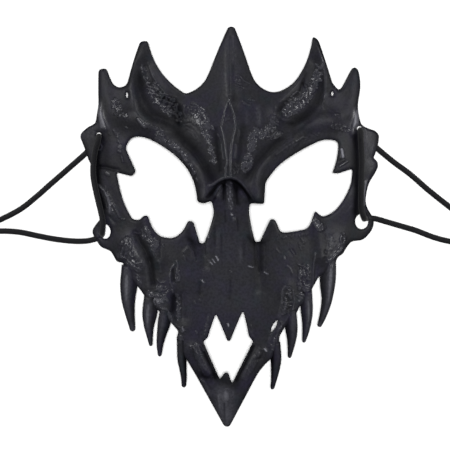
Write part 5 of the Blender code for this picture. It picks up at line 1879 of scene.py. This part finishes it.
@dataclass(frozen=True)
class MouldedPlastic:
    """Black styrene cast in a worked mould, satin on its skin.

    To the eye it is nearly black and shines softly. Its pits get painted shade, its raised veins a painted
    highlight besides a sharper glint, and its brightest facets, edges and fang streaks a grey painted
    highlight.
    Broad stains lean to violet and to a cold blue.

    Attributes:
        layers: Stains, painted shade in the pits, painted highlight on the veins, the brightest painted
            highlight, and grain, in the order in which they are laid.
        rough_steps: Painted light at which each change of roughness starts and ends, and what it ends in.
            shine_light_range, shine: Least and most painted light, and the strength of the mirror image at
                both.
    """

    name: str = "satin black moulded plastic"
    skin: str = "#26262a"
    # A moulding's real grain is too fine to show in the render, so the last layer draws it coarser
    layers: tuple = table(
        Layer,
        (14.0, 4.0, 0.45, 0.75, 0.8, "#282537"),
        (9.0, 3.0, 0.55, 0.75, 0.7, "#232a2f"),
        # Painted shade in the pits, a painted highlight on the veins, and the brightest painted highlight
        (0.0, 0.0, 0.0, -1.0, 1.0, "#0a0a0d"),
        (0.0, 0.0, 0.0, 1.0, 1.0, "#3c3c42"),
        (0.0, 0.0, 1.0, 2.0, 1.0, "#77777f"),
        (1.3, 3.0, 0.42, 0.62, 0.3, "#0a0a0d"),
    )
    rough: float = 0.54
    rough_steps: tuple = ((0.0, -1.0, 0.62), (0.0, 1.0, 0.2), (1.0, 1.6, 0.45))
    shine_light_range: tuple = (-1.0, 1.0)
    shine: tuple = (0.1, 0.6)
    bumps: tuple = table(Bump, (0.55, 3.0, 0.22, 0.12), (1.9, 4.0, 0.35, 0.5))

    def make(self) -> bpy.types.Material:
        """Build the material, which reads the painted light and shade that every vertex carries."""
        material, tree, surface = start_material(self.name)
        # Painted light and shade of every vertex: painted shade below zero, painted highlights above it
        painted_light = add_node(tree, "ShaderNodeAttribute", attribute_name="painted_light").outputs["Fac"]
        colour = linear(self.skin)
        for layer in self.layers:
            cover = add_node(tree, "ShaderNodeMapRange", {
                "Value": lumps(tree, layer.size, layer.detail) if layer.size else painted_light,
                "From Min": layer.low, "From Max": layer.high, "To Min": 0.0, "To Max": layer.most})
            colour = add_node(tree, "ShaderNodeMix", {
                0: cover.outputs[0], 6: colour, 7: linear(layer.colour)}, data_type="RGBA").outputs[2]
        rough = self.rough
        for low, high, value in self.rough_steps:
            gone = add_node(tree, "ShaderNodeMapRange", {"Value": painted_light, "From Min": low, "From Max": high})
            rough = add_node(tree, "ShaderNodeMix", {0: gone.outputs[0], 2: rough, 3: value},
                             data_type="FLOAT").outputs[0]
        shine = add_node(tree, "ShaderNodeMapRange", {
            "Value": painted_light, "From Min": self.shine_light_range[0], "From Max": self.shine_light_range[1],
            "To Min": self.shine[0], "To Max": self.shine[1]})
        feed(tree, surface, {"Base Color": colour, "Roughness": rough,
                             "Specular IOR Level": shine.outputs[0]})
        below = {}
        for bump in self.bumps:
            uneven = add_node(tree, "ShaderNodeBump", {
                "Height": lumps(tree, bump.size, bump.detail), "Strength": bump.strength,
                "Distance": bump.height * MM, **below})
            below = {"Normal": uneven.outputs[0]}
        feed(tree, surface, below)
        return material


@dataclass(frozen=True)
class BraidedElastic:
    """Matt black polyester braid over a rubber core.

    To the eye it is a dull black that hardly shines, with a soft edge of lifted fibres. The fibres are drawn
    coarser than the real ones, at half a millimetre, as they would not show in the render.
    """

    name: str = "black braided elastic"
    yarn: str = "#121214"
    worn: str = "#1f1f22"
    fuzz: Bump = Bump(0.5, 4.0, 0.4, 0.1)
    fuzz_from: float = 0.35
    fuzz_to: float = 0.7
    rough: float = 0.78
    sheen: float = 0.08
    sheen_rough: float = 0.5

    def make(self) -> bpy.types.Material:
        """Build the material."""
        material, tree, surface = start_material(self.name)
        fibres = lumps(tree, self.fuzz.size, self.fuzz.detail)
        fluff = add_node(tree, "ShaderNodeMapRange",
                         {"Value": fibres, "From Min": self.fuzz_from, "From Max": self.fuzz_to})
        colour = add_node(tree, "ShaderNodeMix", {0: fluff.outputs[0], 6: linear(self.yarn),
                                                  7: linear(self.worn)}, data_type="RGBA")
        bump = add_node(tree, "ShaderNodeBump", {"Height": fibres, "Strength": self.fuzz.strength,
                                                 "Distance": self.fuzz.height * MM})
        feed(tree, surface, {"Base Color": colour.outputs[2], "Roughness": self.rough,
                             "Sheen Weight": self.sheen, "Sheen Roughness": self.sheen_rough,
                             "Normal": bump.outputs[0]})
        return material


@dataclass(frozen=True)
class PalePaper:
    """The studio's matt paper floor, a plain bright ground without any shine."""

    name: str = "pale studio paper"
    colour: str = "#f7f7f7"
    rough: float = 0.9

    def make(self) -> bpy.types.Material:
        """Build the material."""
        material, tree, surface = start_material(self.name)
        feed(tree, surface, {"Base Color": linear(self.colour), "Roughness": self.rough,
                             "Specular IOR Level": 0.0})
        return material


class SoftBox(NamedTuple):
    """An area light that is aimed at the mask and shows only as a shine on its skin, in metres and watts."""

    name: str
    place: tuple
    width: float
    height: float
    watts: float


@dataclass(frozen=True)
class Studio:
    """Floor, lights and camera, in metres.

    Attributes:
        overhead, overhead_angle: Strength of the light that keeps the floor white, and its spread in degrees.
        frame_width, frame_at: Width of the picture, and the height over the floor at which it is measured.
        sensor: Width of the camera's sensor in millimetres.
    """

    floor_size: float = 8.0
    aim: tuple = (0.0, 0.0, 0.035)
    boxes: tuple = table(
        SoftBox,
        ("left box", (-1.1, 0.3, 0.32), 0.24, 0.6, 3.6),
        ("right box", (1.1, 0.2, 0.32), 0.24, 0.6, 3.6),
        ("top box", (-0.2, 1.15, 0.5), 0.6, 0.24, 3.2),
    )
    overhead: float = 3.3
    overhead_angle: float = 4.0
    world: float = 0.2
    camera_place: tuple = (-0.00285, 0.00108, 6.0)
    frame_width: float = 0.27
    frame_at: float = 0.026
    sensor: float = 36.0
    clip_end: float = 20.0

    def _floor(self) -> None:
        """Lay the pale floor, which the mask's shine and bounce don't see."""
        half = self.floor_size / 2.0
        mesh = bpy.data.meshes.new("floor")
        corners = [(-half, -half, 0.0), (half, -half, 0.0), (half, half, 0.0), (-half, half, 0.0)]
        mesh.from_pydata(corners, [], [(0, 1, 2, 3)])
        mesh.materials.append(PalePaper().make())
        floor = link(bpy.data.objects.new("floor", mesh))
        floor.visible_glossy = False
        floor.visible_diffuse = False

    def _lights(self) -> None:
        """Hang the soft boxes, the overhead light and the light from all round."""
        for box in self.boxes:
            light = bpy.data.lights.new(box.name, "AREA")
            light.shape = "RECTANGLE"
            light.size, light.size_y = box.width, box.height
            light.energy = box.watts
            lamp = link(bpy.data.objects.new(box.name, light))
            lamp.location = box.place
            lamp.rotation_euler = (Vector(self.aim) - Vector(box.place)).to_track_quat("-Z", "Y").to_euler()
            lamp.visible_diffuse = False
        sun = bpy.data.lights.new("overhead", "SUN")
        sun.energy = self.overhead
        sun.angle = math.radians(self.overhead_angle)
        link(bpy.data.objects.new("overhead", sun)).visible_glossy = False
        world = bpy.data.worlds.new("studio")
        world.use_nodes = True
        feed(world.node_tree, world.node_tree.nodes["Background"],
             {"Color": linear("#ffffff"), "Strength": self.world})
        world.cycles_visibility.glossy = False
        bpy.context.scene.world = world

    def _camera(self) -> None:
        """Set the long lens straight over the mask."""
        data = bpy.data.cameras.new("camera")
        data.sensor_width = self.sensor
        data.lens = self.sensor * (self.camera_place[2] - self.frame_at) / self.frame_width
        data.clip_end = self.clip_end
        camera = link(bpy.data.objects.new("camera", data))
        camera.location = self.camera_place
        bpy.context.scene.camera = camera

    def build(self) -> None:
        """Set up the studio."""
        self._floor()
        self._lights()
        self._camera()
        bpy.context.scene.view_settings.view_transform = "Standard"
        bpy.context.scene.view_settings.look = "None"


def main() -> None:
    """Load the frame, set up the studio and dress every piece."""
    logging.basicConfig(level=logging.INFO, format="%(name)s: %(message)s")
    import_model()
    Studio().build()
    plastic = MouldedPlastic().make()
    braid = Braid(BraidedElastic().make())
    loops = [ElasticLoop(side) for side in CORD_ROUTES]
    pieces = [piece for loop in loops for piece in loop.build(braid)]
    relief = Relief(Veins(VEIN_PATCHES, np.random.default_rng(SEED)))
    pieces.append(MaskShell(relief, [loop.line for loop in loops]).build(plastic))
    pieces.append(Fangs(relief).build(plastic))
    for piece in pieces:
        log.info("%s: %d triangles", piece.name, sum(len(face.vertices) - 2 for face in piece.data.polygons))
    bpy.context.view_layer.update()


if __name__ == "__main__":
    main()
